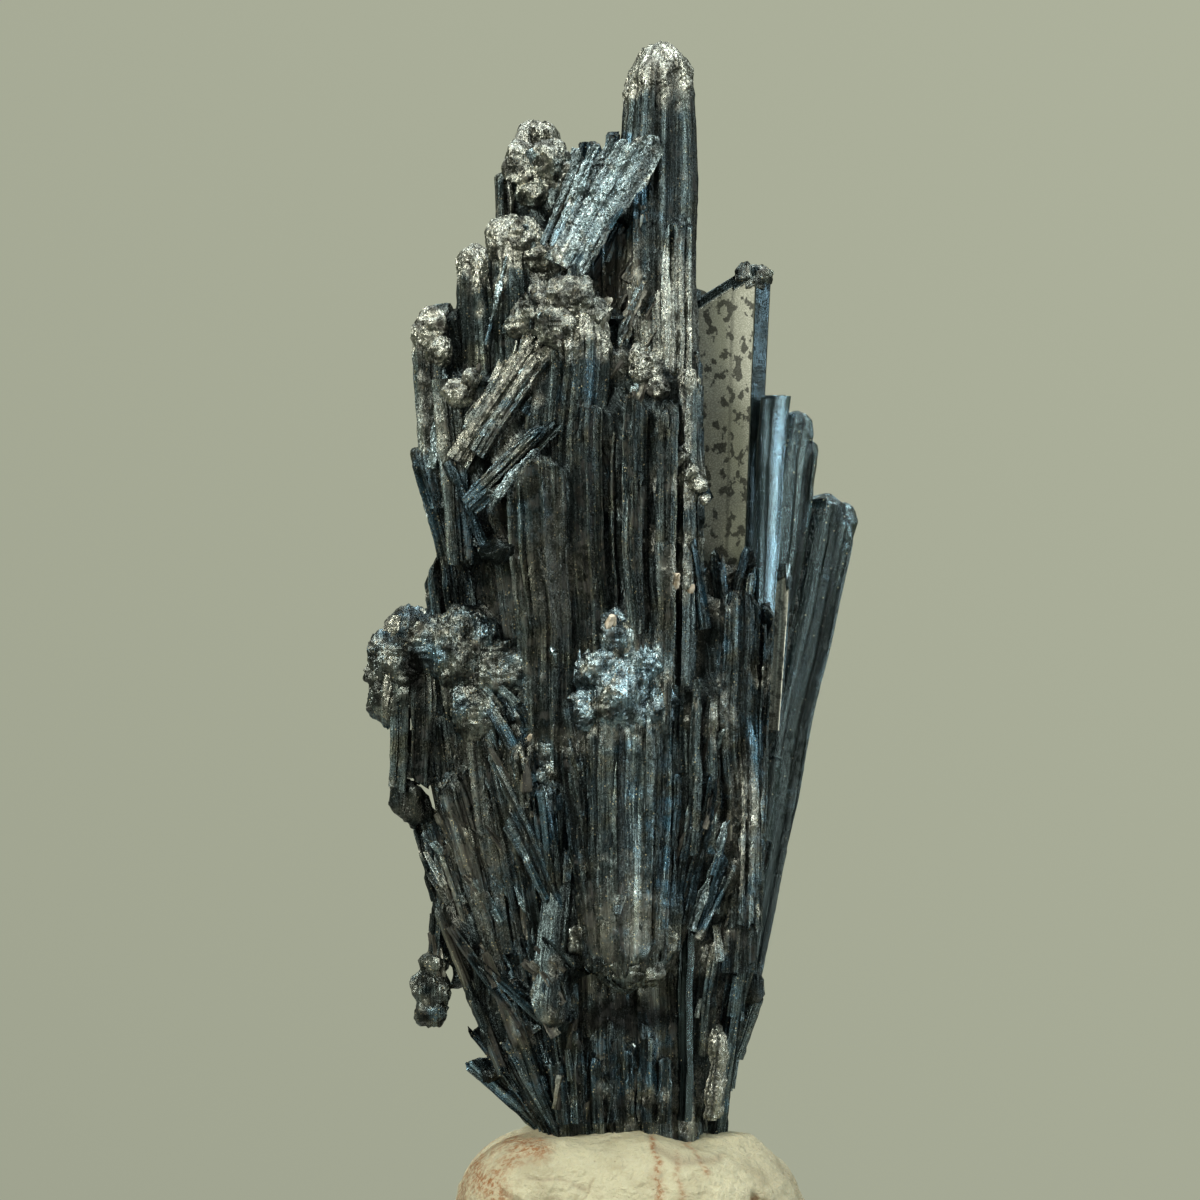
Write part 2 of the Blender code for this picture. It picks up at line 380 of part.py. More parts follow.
def build_putty(parts, pressed_in, surface):
    """The lump, flat underneath, with a socket the shape of the crystals' feet."""
    bm = bmesh.new()
    bmesh.ops.create_uvsphere(bm, u_segments=PUTTY_SEGMENTS, v_segments=PUTTY_RINGS, radius=1.0)
    for corner in bm.verts:
        direction = corner.co.normalized()
        corner.co = direction * putty_radius(direction) + Vector((0, 0, PUTTY_CENTRE_Z))
    cut = bmesh.ops.bisect_plane(bm, geom=bm.verts[:] + bm.edges[:] + bm.faces[:], plane_co=(0, 0, 0),
                                 plane_no=(0, 0, -1), clear_outer=True)["geom_cut"]
    bmesh.ops.contextual_create(bm, geom=[edge for edge in cut if isinstance(edge, bmesh.types.BMEdge)])
    bmesh.ops.scale(bm, vec=(MM, MM, MM), verts=bm.verts[:])
    lump = new_object("putty_base", bm, parts, surface)
    lump.data.shade_smooth()
    lump.data.set_sharp_from_angle(angle=math.radians(40))
    sockets = new_collection("sockets")
    for crystal in pressed_in:
        helper(new_object("socket_" + crystal.name, crystal_body(crystal, FOOT_GAP), sockets))
    join_by_boolean(lump, "DIFFERENCE", sockets)
    return lump


def main():
    clear_scene()
    parts = new_collection("stibnite_specimen")
    crystals = [*CORE, *TOP, *LEFT, *FRONT, *RIGHT, *BASE, *LATHS, *step_prisms(), *BACK]
    putty_top = PUTTY_CENTRE_Z + 1.1 * PUTTY_HALF_HEIGHT
    pressed_in = [crystal for crystal in crystals if min(crystal.foot[2], crystal.tip[2]) < putty_top]
    build_spray(parts, crystals, material("stibnite", STIBNITE_COLOUR, 0.38, 0.85))
    build_putty(parts, pressed_in, material("putty", PUTTY_COLOUR, 0.75, 0.0))


main()
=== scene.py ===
import math
import random

import bpy
import numpy as np
from mathutils import Matrix, Vector


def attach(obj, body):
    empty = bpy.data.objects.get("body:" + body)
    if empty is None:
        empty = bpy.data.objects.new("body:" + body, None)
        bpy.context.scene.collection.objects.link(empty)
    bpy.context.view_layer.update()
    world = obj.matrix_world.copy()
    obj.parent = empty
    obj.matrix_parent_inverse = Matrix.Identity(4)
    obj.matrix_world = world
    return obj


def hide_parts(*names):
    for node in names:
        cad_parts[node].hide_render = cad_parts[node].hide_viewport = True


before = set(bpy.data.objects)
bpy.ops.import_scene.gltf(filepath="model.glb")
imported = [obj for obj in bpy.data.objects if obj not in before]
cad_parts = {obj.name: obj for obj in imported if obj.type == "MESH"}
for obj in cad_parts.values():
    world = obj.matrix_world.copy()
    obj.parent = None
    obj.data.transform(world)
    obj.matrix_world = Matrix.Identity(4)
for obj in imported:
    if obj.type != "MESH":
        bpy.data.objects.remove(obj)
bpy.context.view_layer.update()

mm = 0.001

# The crystals, in millimetres. Most stand as in the solid model. A few stand up to 2 mm from it, and some
# thin ones are here alone. Each line gives the middle of the foot and of the tip, the width and thickness
# at the tip, the roll about its own axis in degrees, the taper, the kind of end and the number of sides.
coreCrystals = {
    "coreMiddle": ((1.0, 0.0, 17.4), (0.0, 0.5, 92.0), (13.0, 11.0), 4, 0.85, "broken", 6),
    "coreLeft": ((-2.6, 0.5, 18.2), (-12.6, 1.0, 87.0), (11.5, 11.0), -6, 0.6, "broken", 6),
    "coreRight": ((4.2, 1.0, 18.0), (10.0, 1.0, 73.0), (8.0, 10.0), 8, 0.8, "broken", 6),
    "coreBase": ((-0.2, 0.6, 17.0), (-1.2, -0.6, 43.0), (18.6, 14.4), 0, 1, "broken", 10),
}
topCrystals = {
    "tallFinger": ((2.5, -1.5, 58.0), (3.1, 1.0, 131.3), (7.9, 7.4), 8, 1.08, "dome", 8),
    "fingerFront": ((3.0, -5.0, 70.0), (3.9, -1.6, 113.5), (6.4, 4.4), -5, 1, "chisel", 6),
    "leftDome": ((-6.5, 1.5, 88.0), (-9.8, 2.0, 123.2), (7.4, 6.2), 5, 1, "dome", 7),
    "leftDomeFlank": ((-10.6, 0.4, 90.0), (-12.3, 0.8, 118.4), (3.2, 4.6), 12, 1, "chisel", 6),
    "leftDomeShoulder": ((-7.0, 0.0, 96.0), (-7.2, 0.5, 121.2), (3.6, 5.0), 0, 1, "arch", 6),
    "needleLathNear": ((-8.6, -2.4, 110.0), (-5.4, -1.2, 120.4), (1.2, 2.2), 20, 0.9, "chisel", 5),
    "needleLathFar": ((-7.4, -2.2, 107.0), (-3.8, -0.8, 120.8), (1.5, 2.6), -10, 0.9, "slantLeft", 5),
    "needleBlock": ((-3.5, 0.0, 98.0), (-4.1, 0.6, 120.9), (3.2, 4.2), 0, 1, "broken", 6),
    "recessWall": ((-1.6, -0.4, 80.0), (-1.5, -0.2, 112.0), (3.4, 4.4), 10, 1, "broken", 6),
    "needleBlockRight": ((-1.5, 0.2, 104.0), (-1.8, 0.9, 122.2), (1.8, 2.4), 15, 1, "flat", 5),
    "leaningSlab": ((-6.6, -5.2, 108.0), (2.2, -3.4, 123.4), (8.0, 2.4), 10, 0.62, "slantLeft", 6),
    "leaningSlabBehind": ((-6.9, -3.8, 108.8), (-1.9, -1.6, 121.0), (4.4, 2.2), 4, 0.6, "slantLeft", 6),
    "upperLeftBlock": ((-11.0, -2.0, 91.0), (-11.3, -1.6, 113.3), (5.7, 6.6), -8, 1, "dome", 7),
    "leftSmall": ((-14.4, 0.0, 90.0), (-15.5, 0.5, 111.1), (4.3, 5.0), 10, 1, "dome", 6),
    "leftStep": ((-17.4, 1.5, 88.0), (-18.5, 2.0, 105.2), (4.0, 4.6), -12, 1, "chisel", 6),
    "leftCrusted": ((-18.6, -0.6, 84.0), (-20.0, -0.2, 103.8), (4.6, 5.6), 6, 0.9, "dome", 7),
    "centralDome": ((-5.9, -3.5, 76.0), (-5.6, -4.2, 106.6), (8.2, 8.6), -4, 1, "dome", 9),
    "centralDomeShoulder": ((-9.2, -3.3, 76.0), (-9.2, -3.9, 101.8), (4.6, 6.8), 6, 1, "slantLeft", 7),
    "crossingLathLow": ((-17.4, -4.4, 88.6), (-9.4, -4.8, 101.6), (3.8, 3.6), 14, 0.9, "chisel", 6),
    "crossingLathMid": ((-15.4, -6.0, 89.4), (-8.4, -7.0, 100.2), (2.8, 3.0), -12, 0.85, "chisel", 6),
    "crossingLathHigh": ((-13.4, -4.8, 90.0), (-10.2, -4.6, 104.4), (2.4, 3.0), 18, 0.9, "slantLeft", 6),
    "ribbon": ((-16.0, -6.6, 84.4), (-6.8, -8.6, 93.6), (3.8, 2.8), 16, 0.8, "slantLeft", 6),
    "ribbonPrism": ((-9.0, -8.4, 90.0), (-14.1, -8.8, 84.0), (1.6, 1.7), 20, 1, "flat", 6),
}
leftCrystals = {
    "leftLath": ((-17.5, -1.5, 76.5), (-20.8, -1.0, 90.6), (3.8, 3.8), -10, 0.9, "chisel", 6),
    "leftHangingPrism": ((-18.2, -3.2, 97.0), (-16.8, -4.2, 78.4), (3.3, 3.5), 10, 1, "flat", 6),
    "leftBlueLath": ((-18.2, -4.8, 88.5), (-13.6, -5.8, 78.6), (1.5, 1.5), 30, 1, "slantLeft", 5),
    "leftNeck": ((-14.9, 0.0, 60.0), (-18.8, -1.0, 80.0), (5.4, 6.4), 0, 1, "arch", 6),
    "leftCrustMass": ((-12.0, -2.0, 40.0), (-16.6, -3.4, 74.5), (8.6, 7.0), -6, 0.8, "dome", 7),
    "outerLump": ((-22.2, -0.8, 73.4), (-24.0, -1.6, 62.4), (4.6, 5.6), 20, 0.8, "dome", 7),
    "outerLumpRoof": ((-17.0, 0.0, 66.0), (-22.0, -0.6, 74.0), (5.4, 5.0), -20, 1, "dome", 6),
    "outerHangingPrism": ((-22.8, -2.2, 68.0), (-23.1, -2.2, 55.8), (2.4, 2.6), 12, 1, "flat", 6),
    "innerHangingPrism": ((-20.6, -2.2, 68.0), (-20.8, -2.6, 55.4), (3.4, 2.4), -15, 1, "slantLeft", 6),
    "leftFanOuter": ((-15.0, 0.6, 36.0), (-19.7, -1.4, 64.0), (4.6, 5.4), 10, 0.9, "arch", 6),
    "leftKnob": ((-18.4, 0.4, 45.0), (-21.1, -0.4, 55.0), (4.0, 3.8), 0, 0.9, "dome", 6),
    "leftFanLong": ((-6.6, -1.2, 19.6), (-18.0, -3.4, 58.0), (5.2, 6.0), -8, 0.7, "chisel", 6),
    "leftFanMiddle": ((-5.8, -2.4, 19.6), (-14.4, -5.2, 66.0), (5.6, 6.0), 12, 0.65, "broken", 6),
    "leftFanInner": ((-5.4, -3.0, 19.6), (-11.6, -6.8, 62.0), (4.8, 6.0), -10, 0.7, "chisel", 6),
    "leftFanFront": ((-4.8, -3.2, 20.0), (-9.2, -8.2, 58.0), (4.4, 5.6), 8, 0.7, "slantLeft", 6),
    "leftEdgePlate": ((-13.4, -1.6, 34.0), (-19.0, -1.8, 50.6), (3.2, 3.4), 0, 0.9, "chisel", 6),
    "leftEdgeLath": ((-12.6, -3.4, 28.0), (-19.2, -3.2, 44.6), (1.7, 2.2), 0, 0.9, "point", 5),
    "spindleNeck": ((-18.0, 0.4, 50.0), (-19.4, 0.4, 37.0), (3.0, 3.0), 0, 0.8, "dome", 6),
    "spindle": ((-19.4, 0.4, 43.5), (-19.9, 0.6, 32.6), (3.2, 2.8), 14, 0.6, "dome", 7),
}
frontCrystals = {
    "tombstone": ((-8.0, -5.2, 53.0), (-8.6, -8.8, 89.8), (7.2, 6.4), 4, 0.8, "arch", 8),
    "columnFirst": ((-3.8, -7.2, 62.0), (-4.3, -6.6, 94.6), (4.4, 6.0), 8, 0.85, "broken", 6),
    "columnSecond": ((-1.2, -6.2, 62.0), (-1.4, -5.2, 93.2), (2.4, 5.0), 0, 0.9, "chisel", 6),
    "columnThird": ((0.8, -8.0, 62.0), (0.8, -6.8, 96.2), (3.8, 6.4), -6, 0.8, "slantRight", 6),
    "columnFourth": ((3.2, -8.2, 62.0), (3.9, -7.0, 95.2), (3.0, 6.0), 10, 0.85, "chisel", 6),
    "columnFifth": ((5.2, -7.2, 58.0), (5.9, -5.4, 98.2), (2.4, 6.0), -10, 0.9, "broken", 6),
    "columnSixth": ((6.6, -4.2, 52.0), (6.5, -2.8, 100.0), (2.2, 6.0), 5, 0.9, "slantRight", 6),
    "columnSeventh": ((9.2, -3.8, 66.0), (8.6, -3.4, 80.4), (2.4, 4.2), 14, 0.9, "point", 6),
    "shield": ((-0.6, -4.6, 72.0), (-0.4, -8.4, 35.8), (10.4, 7.6), 0, 1.3, "dome", 12),
    "shieldRibLeft": ((-6.6, -6.2, 65.0), (-3.4, -9.2, 37.8), (3.4, 5.6), -14, 1.1, "dome", 6),
    "shieldRibMiddle": ((-1.0, -7.0, 68.0), (-0.5, -10.2, 36.9), (3.6, 5.2), 6, 1.1, "dome", 6),
    "shieldRibRight": ((3.8, -6.4, 66.0), (2.3, -9.4, 37.6), (3.4, 5.6), 14, 1.1, "dome", 6),
    "glossyLump": ((-6.6, -6.4, 47.0), (-8.0, -9.4, 32.4), (4.9, 4.8), 0, 0.8, "dome", 8),
    "slimPrism": ((5.6, -8.2, 50.0), (6.7, -9.4, 67.2), (2.0, 2.4), 12, 1, "flat", 6),
    "slimPrismBehind": ((7.4, -6.8, 50.0), (8.4, -7.4, 66.0), (2.2, 3.0), -14, 0.9, "chisel", 6),
    "fibreLath": ((4.8, -7.2, 44.0), (8.2, -8.0, 58.8), (2.8, 3.0), 0, 0.5, "slantRight", 6),
    "fibreLathBlue": ((6.6, -7.2, 41.4), (9.2, -8.2, 50.4), (1.8, 2.0), 0, 0.6, "point", 5),
}
rightCrystals = {
    "mirrorBlade": ((9.4, 0.8, 62.0), (10.7, 2.4, 110.2), (7.6, 3.2), 3, 0.66, "slantLeft", 6),
    "mirrorBladeCap": ((11.8, 2.4, 98.0), (13.2, 2.6, 108.9), (2.4, 2.8), 0, 0.9, "dome", 6),
    "roundPrism": ((12.6, -1.8, 64.0), (14.4, -1.2, 95.6), (3.5, 3.6), 0, 0.55, "flat", 10),
    "curvedBlade": ((14.0, 0.4, 68.0), (16.8, 0.8, 94.4), (4.8, 3.4), 0, 0.5, "dome", 8),
    "curvedBladeEdge": ((15.4, 0.8, 74.0), (18.1, 1.0, 91.4), (2.8, 2.8), 0, 0.7, "dome", 8),
    "farRightBlade": ((9.0, 3.4, 30.0), (19.9, 5.4, 86.0), (7.4, 4.6), -4, 0.7, "dome", 10),
    "farRightEdge": ((18.6, 5.0, 74.0), (21.8, 5.6, 85.0), (3.0, 3.6), 8, 0.9, "dome", 8),
    "farRightRoot": ((8.6, 3.2, 26.0), (13.8, 4.2, 60.0), (5.2, 5.4), 5, 0.8, "broken", 6),
    "rightRootBlade": ((5.8, 1.6, 18.6), (12.4, 3.0, 52.0), (5.4, 6.4), 6, 0.72, "broken", 6),
    "mirrorStrip": ((14.4, -0.4, 62.0), (15.5, -0.6, 79.0), (1.7, 1.2), 6, 0.8, "slantLeft", 6),
    "rightFlake": ((10.6, 0.6, 29.0), (12.7, 0.4, 35.6), (2.3, 1.6), 0, 0.7, "chisel", 5),
    "rightBundleHigh": ((10.2, -4.0, 38.0), (10.6, -5.6, 76.2), (5.6, 6.6), -8, 0.95, "arch", 7),
    "rightBundleEdge": ((11.8, -2.4, 42.0), (13.0, -3.2, 75.2), (3.0, 5.6), 8, 0.9, "chisel", 6),
    "rightBlock": ((11.0, -3.9, 63.0), (10.8, -6.4, 42.2), (4.8, 5.6), -5, 1, "flat", 6),
}
baseCrystals = {
    "lowFlake": ((-7.8, 1.2, 22.4), (-16.9, 1.0, 30.0), (4.0, 1.7), 10, 0.8, "slantRight", 6),
    "lowFlakeInner": ((-7.0, 0.8, 21.0), (-12.6, 0.4, 28.0), (3.0, 2.2), -10, 0.8, "slantLeft", 6),
    "lowBlueBlade": ((-7.2, -2.2, 21.6), (-16.5, -2.8, 33.2), (2.5, 1.8), 24, 1, "point", 5),
    "lowDarkBlade": ((-6.4, -2.6, 20.6), (-13.0, -4.0, 32.0), (3.4, 2.6), -12, 1, "slantLeft", 6),
    "lowLeftWall": ((-6.0, -2.4, 20.0), (-12.8, -4.2, 37.0), (4.2, 4.8), 6, 0.9, "chisel", 6),
    "smoothColumn": ((5.1, -5.4, 23.4), (5.5, -6.4, 42.6), (1.9, 3.2), 10, 0.9, "flat", 6),
    "brightColumn": ((7.9, -4.0, 23.4), (8.9, -5.0, 33.2), (2.3, 3.2), -12, 0.9, "slantRight", 6),
    "featherColumn": ((6.8, -4.4, 30.0), (8.2, -6.0, 42.0), (3.0, 3.4), 16, 0.8, "chisel", 6),
    "lowLeftFill": ((-6.0, -1.0, 21.0), (-14.2, -1.4, 37.0), (4.4, 4.0), 6, 0.9, "broken", 6),
    "rightRootColumn": ((8.0, -1.0, 20.0), (11.3, -3.2, 43.0), (3.2, 4.0), 4, 0.95, "broken", 6),
}
slimLaths = {
    "slabLathLeft": ((-8.6, -4.8, 110.4), (-4.4, -4.4, 120.0), (1.3, 1.4), 12, 0.8, "chisel", 5),
    "slabLathMiddle": ((-7.6, -5.4, 110.2), (-3.0, -5.0, 120.8), (1.5, 1.4), -8, 0.8, "slantLeft", 5),
    "brightLath": ((-2.6, -4.4, 98.4), (0.0, -4.8, 102.9), (1.0, 1.3), 20, 0.9, "chisel", 5),
    "brightLathBehind": ((-1.8, -4.0, 99.6), (1.4, -3.8, 106.4), (1.4, 1.6), -20, 0.9, "slantLeft", 5),
    "upperLeftNeedle": ((-14.4, -4.6, 100.4), (-12.1, -4.4, 109.8), (0.8, 1.1), 15, 0.9, "point", 5),
    "leftShoulderLath": ((-19.6, -2.6, 88.0), (-18.0, -3.2, 97.6), (1.7, 2.0), -10, 0.8, "chisel", 5),
    "crustedLath": ((5.0, -7.8, 90.4), (7.9, -6.2, 84.6), (1.6, 1.8), 12, 0.9, "chisel", 5),
    "hollowLath": ((-0.9, -5.8, 84.0), (-3.2, -6.2, 92.0), (1.6, 2.2), 18, 0.9, "slantRight", 5),
    "mirrorFootLath": ((9.6, -2.8, 73.4), (11.8, -2.4, 80.8), (1.3, 1.5), -16, 0.9, "point", 5),
    "mirrorFootSpike": ((11.2, -3.2, 72.0), (12.2, -2.4, 78.6), (1.2, 1.2), 30, 0.9, "chisel", 5),
    "slantingLathLong": ((-6.4, -8.0, 43.2), (-14.0, -7.4, 60.0), (1.7, 2.2), 20, 0.9, "chisel", 5),
    "slantingLathShort": ((-8.4, -7.6, 45.2), (-12.6, -7.6, 54.0), (1.9, 2.2), -16, 0.8, "slantLeft", 5),
    "slantingLathHigh": ((-10.0, -7.2, 56.6), (-15.4, -6.4, 66.4), (1.8, 2.4), 12, 0.9, "point", 5),
    "lowSlantingLath": ((-11.0, -5.2, 32.6), (-18.2, -4.2, 42.8), (1.6, 2.0), 24, 0.8, "chisel", 5),
    "lowCrossingLath": ((-9.0, -6.0, 33.4), (-15.6, -5.4, 39.8), (1.7, 1.8), -12, 0.8, "slantLeft", 5),
    "hollowSplinter": ((-0.2, -7.6, 34.6), (-0.4, -7.8, 38.8), (0.7, 0.8), 0, 0.9, "flat", 5),
    "fibreNear": ((4.4, -8.6, 44.0), (6.2, -9.4, 56.5), (1.2, 1.4), 10, 0.9, "chisel", 5),
    "fibreMid": ((5.4, -8.2, 43.0), (8.4, -9.2, 57.5), (1.1, 1.3), -14, 0.9, "point", 5),
    "fibreHigh": ((6.0, -7.8, 42.4), (9.6, -8.8, 54.0), (1.3, 1.4), 22, 0.9, "slantLeft", 5),
    "fibreLow": ((6.6, -7.4, 41.6), (10.2, -8.4, 49.0), (1.0, 1.2), 5, 0.9, "chisel", 5),
    "fibreInner": ((4.0, -8.8, 46.0), (4.6, -9.8, 58.0), (1.1, 1.2), -8, 0.9, "chisel", 5),
    "rightSeamLath": ((7.4, -6.6, 72.0), (6.0, -7.0, 81.0), (1.5, 2.4), 10, 0.9, "chisel", 5),
}
backCrystals = {
    "backTall": ((2.0, 4.6, 40.0), (2.6, 6.0, 113.0), (7.0, 5.4), 10, 0.85, "chisel", 6),
    "backLeftTall": ((-5.0, 5.2, 36.0), (-8.6, 7.4, 105.0), (6.8, 5.4), -8, 0.85, "dome", 6),
    "backLeftMid": ((-8.0, 4.6, 34.0), (-15.0, 6.4, 95.0), (6.4, 5.6), 6, 0.75, "slantLeft", 6),
    "backLeftLow": ((-9.0, 3.4, 28.0), (-18.6, 4.8, 79.0), (5.8, 5.6), -14, 0.75, "chisel", 6),
    "backMiddle": ((-1.0, 7.0, 30.0), (-2.4, 10.4, 93.0), (7.2, 5.6), 14, 0.75, "arch", 6),
    "backMiddleRight": ((3.0, 7.4, 28.0), (4.8, 11.2, 85.0), (6.6, 5.4), -6, 0.75, "chisel", 6),
    "backRightTall": ((6.0, 5.6, 26.0), (10.4, 7.6, 93.0), (5.8, 5.0), 12, 0.8, "slantRight", 6),
    "backRightMid": ((7.4, 4.8, 24.0), (14.6, 8.0, 76.0), (5.6, 5.0), -10, 0.8, "dome", 6),
    "backLeftRoot": ((-5.0, 3.4, 20.0), (-14.0, 8.0, 60.0), (5.8, 5.6), 8, 0.7, "broken", 6),
    "backMiddleRootLeft": ((-2.8, 3.8, 19.6), (-7.6, 11.6, 71.0), (6.4, 5.6), -12, 0.65, "slantLeft", 6),
    "backMiddleRoot": ((0.6, 4.0, 19.2), (0.6, 12.6, 63.0), (6.8, 5.8), 4, 0.65, "dome", 6),
    "backRightRoot": ((4.2, 3.6, 19.4), (8.8, 11.0, 58.0), (6.0, 5.6), -6, 0.7, "chisel", 6),
    "backLowLeft": ((-5.0, 4.0, 20.6), (-10.4, 8.6, 43.0), (4.4, 4.2), 10, 0.8, "chisel", 6),
    "backLowRight": ((2.6, 4.6, 20.4), (4.4, 10.8, 40.0), (5.0, 4.4), -10, 0.8, "slantRight", 6),
    "leftSideBlade": ((-6.6, 2.6, 20.4), (-16.8, 3.0, 52.0), (3.6, 5.4), 0, 0.8, "chisel", 6),
    "rightSideBlade": ((6.2, 2.8, 20.0), (13.6, 6.0, 63.0), (3.4, 5.2), 0, 0.8, "broken", 6),
}
# Short broken prisms above the putty, each turned a little from the last: places across and heights of tips.
stepPrisms = {"width": 2.1, "thickness": 3.6, "footHeight": 23.3, "footShare": 0.92, "footY": -6.2,
              "tipY": -7.0, "turn": 12,
              "tips": ((-7.0, 29.4), (-5.4, 32.6), (-3.5, 30.2), (-1.9, 34.0), (-0.2, 31.2), (1.5, 33.2),
                       (3.4, 29.8))}
# Lumps of crust: how pale and how blue they are, then the middle and radius of each.
crustMasses = {
    "outerMass": (0.3, 0.45, (((-23.0, -1.2, 68.6), 3.8), ((-21.8, -0.8, 71.4), 3.2),
                              ((-23.4, -1.6, 65.4), 2.9))),
    "leftMass": (0.34, 0.5, (((-16.6, -3.9, 70.0), 4.0), ((-12.4, -5.3, 67.8), 3.6),
                             ((-19.4, -2.4, 70.4), 3.4), ((-14.8, -4.9, 64.0), 3.2),
                             ((-10.4, -5.3, 64.0), 2.4))),
    "middleMass": (0.5, 0.85, (((-1.2, -7.9, 71.6), 2.5), ((-3.0, -7.9, 68.0), 2.9), ((0.9, -8.1, 68.6), 3.0),
                               ((-0.9, -8.7, 65.6), 3.6), ((2.9, -8.3, 64.9), 2.5), ((-4.4, -8.1, 64.0), 2.4))),
    "upperLedge": (0.9, 0.15, (((-12.6, -2.8, 111.0), 2.3), ((-10.4, -3.4, 111.2), 2.1),
                               ((-9.2, -3.6, 109.4), 1.8))),
    "centralCrust": (0.65, 0.25, (((-8.8, -5.4, 104.0), 2.5), ((-5.8, -6.0, 104.9), 2.6),
                                  ((-3.8, -5.4, 103.6), 2.1), ((-10.8, -4.6, 102.4), 1.9),
                                  ((-7.4, -6.6, 102.0), 2.2))),
    "leftTopCrust": (0.95, 0.1, (((-20.0, -0.9, 101.8), 2.2), ((-19.0, -1.6, 99.8), 1.7))),
    "sideCrust": (0.9, 0.2, (((-17.2, -4.4, 95.6), 1.6), ((-15.8, -4.8, 97.0), 1.1))),
    "fingerCrust": (0.95, 0.1, (((1.6, -7.0, 97.8), 1.8), ((2.8, -7.4, 96.0), 1.3), ((0.6, -6.6, 99.2), 1.1))),
    "columnCrust": (0.85, 0.3, (((5.0, -7.9, 89.0), 0.9), ((5.8, -7.6, 87.8), 1.0), ((6.7, -7.2, 86.4), 1.0),
                                ((7.4, -6.7, 85.0), 0.7))),
    "spindleDrop": (0.25, 0.3, (((-19.9, 0.4, 36.0), 2.3), ((-19.8, 0.4, 33.8), 1.8), ((-19.5, 0.4, 38.6), 1.6))),
    "bladeCap": (0.3, 0.2, (((11.6, 2.0, 107.6), 1.3), ((13.0, 2.0, 107.4), 1.4), ((12.4, 1.8, 106.6), 1.2))),
    "headCrust": (0.75, 0.2, (((-8.3, -1.0, 118.6), 2.6), ((-10.5, -0.8, 118.4), 2.4), ((-7.2, -0.8, 116.2), 2.0),
                             ((-9.6, -1.2, 115.8), 2.2))),
    "shieldEnd": (0.2, 0.15, (((-4.6, -8.7, 41.4), 1.7), ((-2.6, -9.4, 39.6), 1.9), ((-0.3, -9.9, 38.5), 2.0),
                              ((1.9, -9.4, 38.8), 1.9), ((3.3, -8.8, 41.2), 1.8), ((0.6, -9.8, 42.0), 2.0),
                              ((-2.0, -9.6, 43.0), 1.9), ((-4.0, -8.9, 45.2), 1.5), ((2.6, -9.2, 45.0), 1.5))),
    "bandEdge": (0.7, 0.9, (((-8.3, -7.4, 60.4), 1.3), ((-8.2, -7.6, 57.6), 1.2), ((-7.8, -7.8, 54.8), 1.0))),
}

# How a crystal ends: planes that lean so many degrees towards a turn about the axis, and cross the axis
# so many widths above the tip.
endPlanes = {
    "flat": ((5, 200, 0.0),),
    "broken": ((14, 160, 0.02), (20, 310, 0.05), (48, 15, 0.26)),
    "chisel": ((40, 75, 0.0), (44, 255, 0.02), (30, 170, 0.16)),
    "point": ((52, 20, 0.0), (56, 140, 0.0), (54, 260, 0.0)),
    "slantLeft": ((33, 180, -0.3), (50, 190, 0.02), (35, 20, 0.0)),
    "slantRight": ((33, 0, -0.3), (50, 350, 0.02), (35, 170, 0.0)),
    "arch": ((22, 180, 0.0), (24, 0, 0.0), (56, 180, 0.2), (58, 0, 0.22), (35, 270, 0.2)),
    "dome": tuple((30, turn, 0.0) for turn in range(10, 370, 72))
    + tuple((62, turn, 0.34) for turn in range(46, 406, 72)),
}

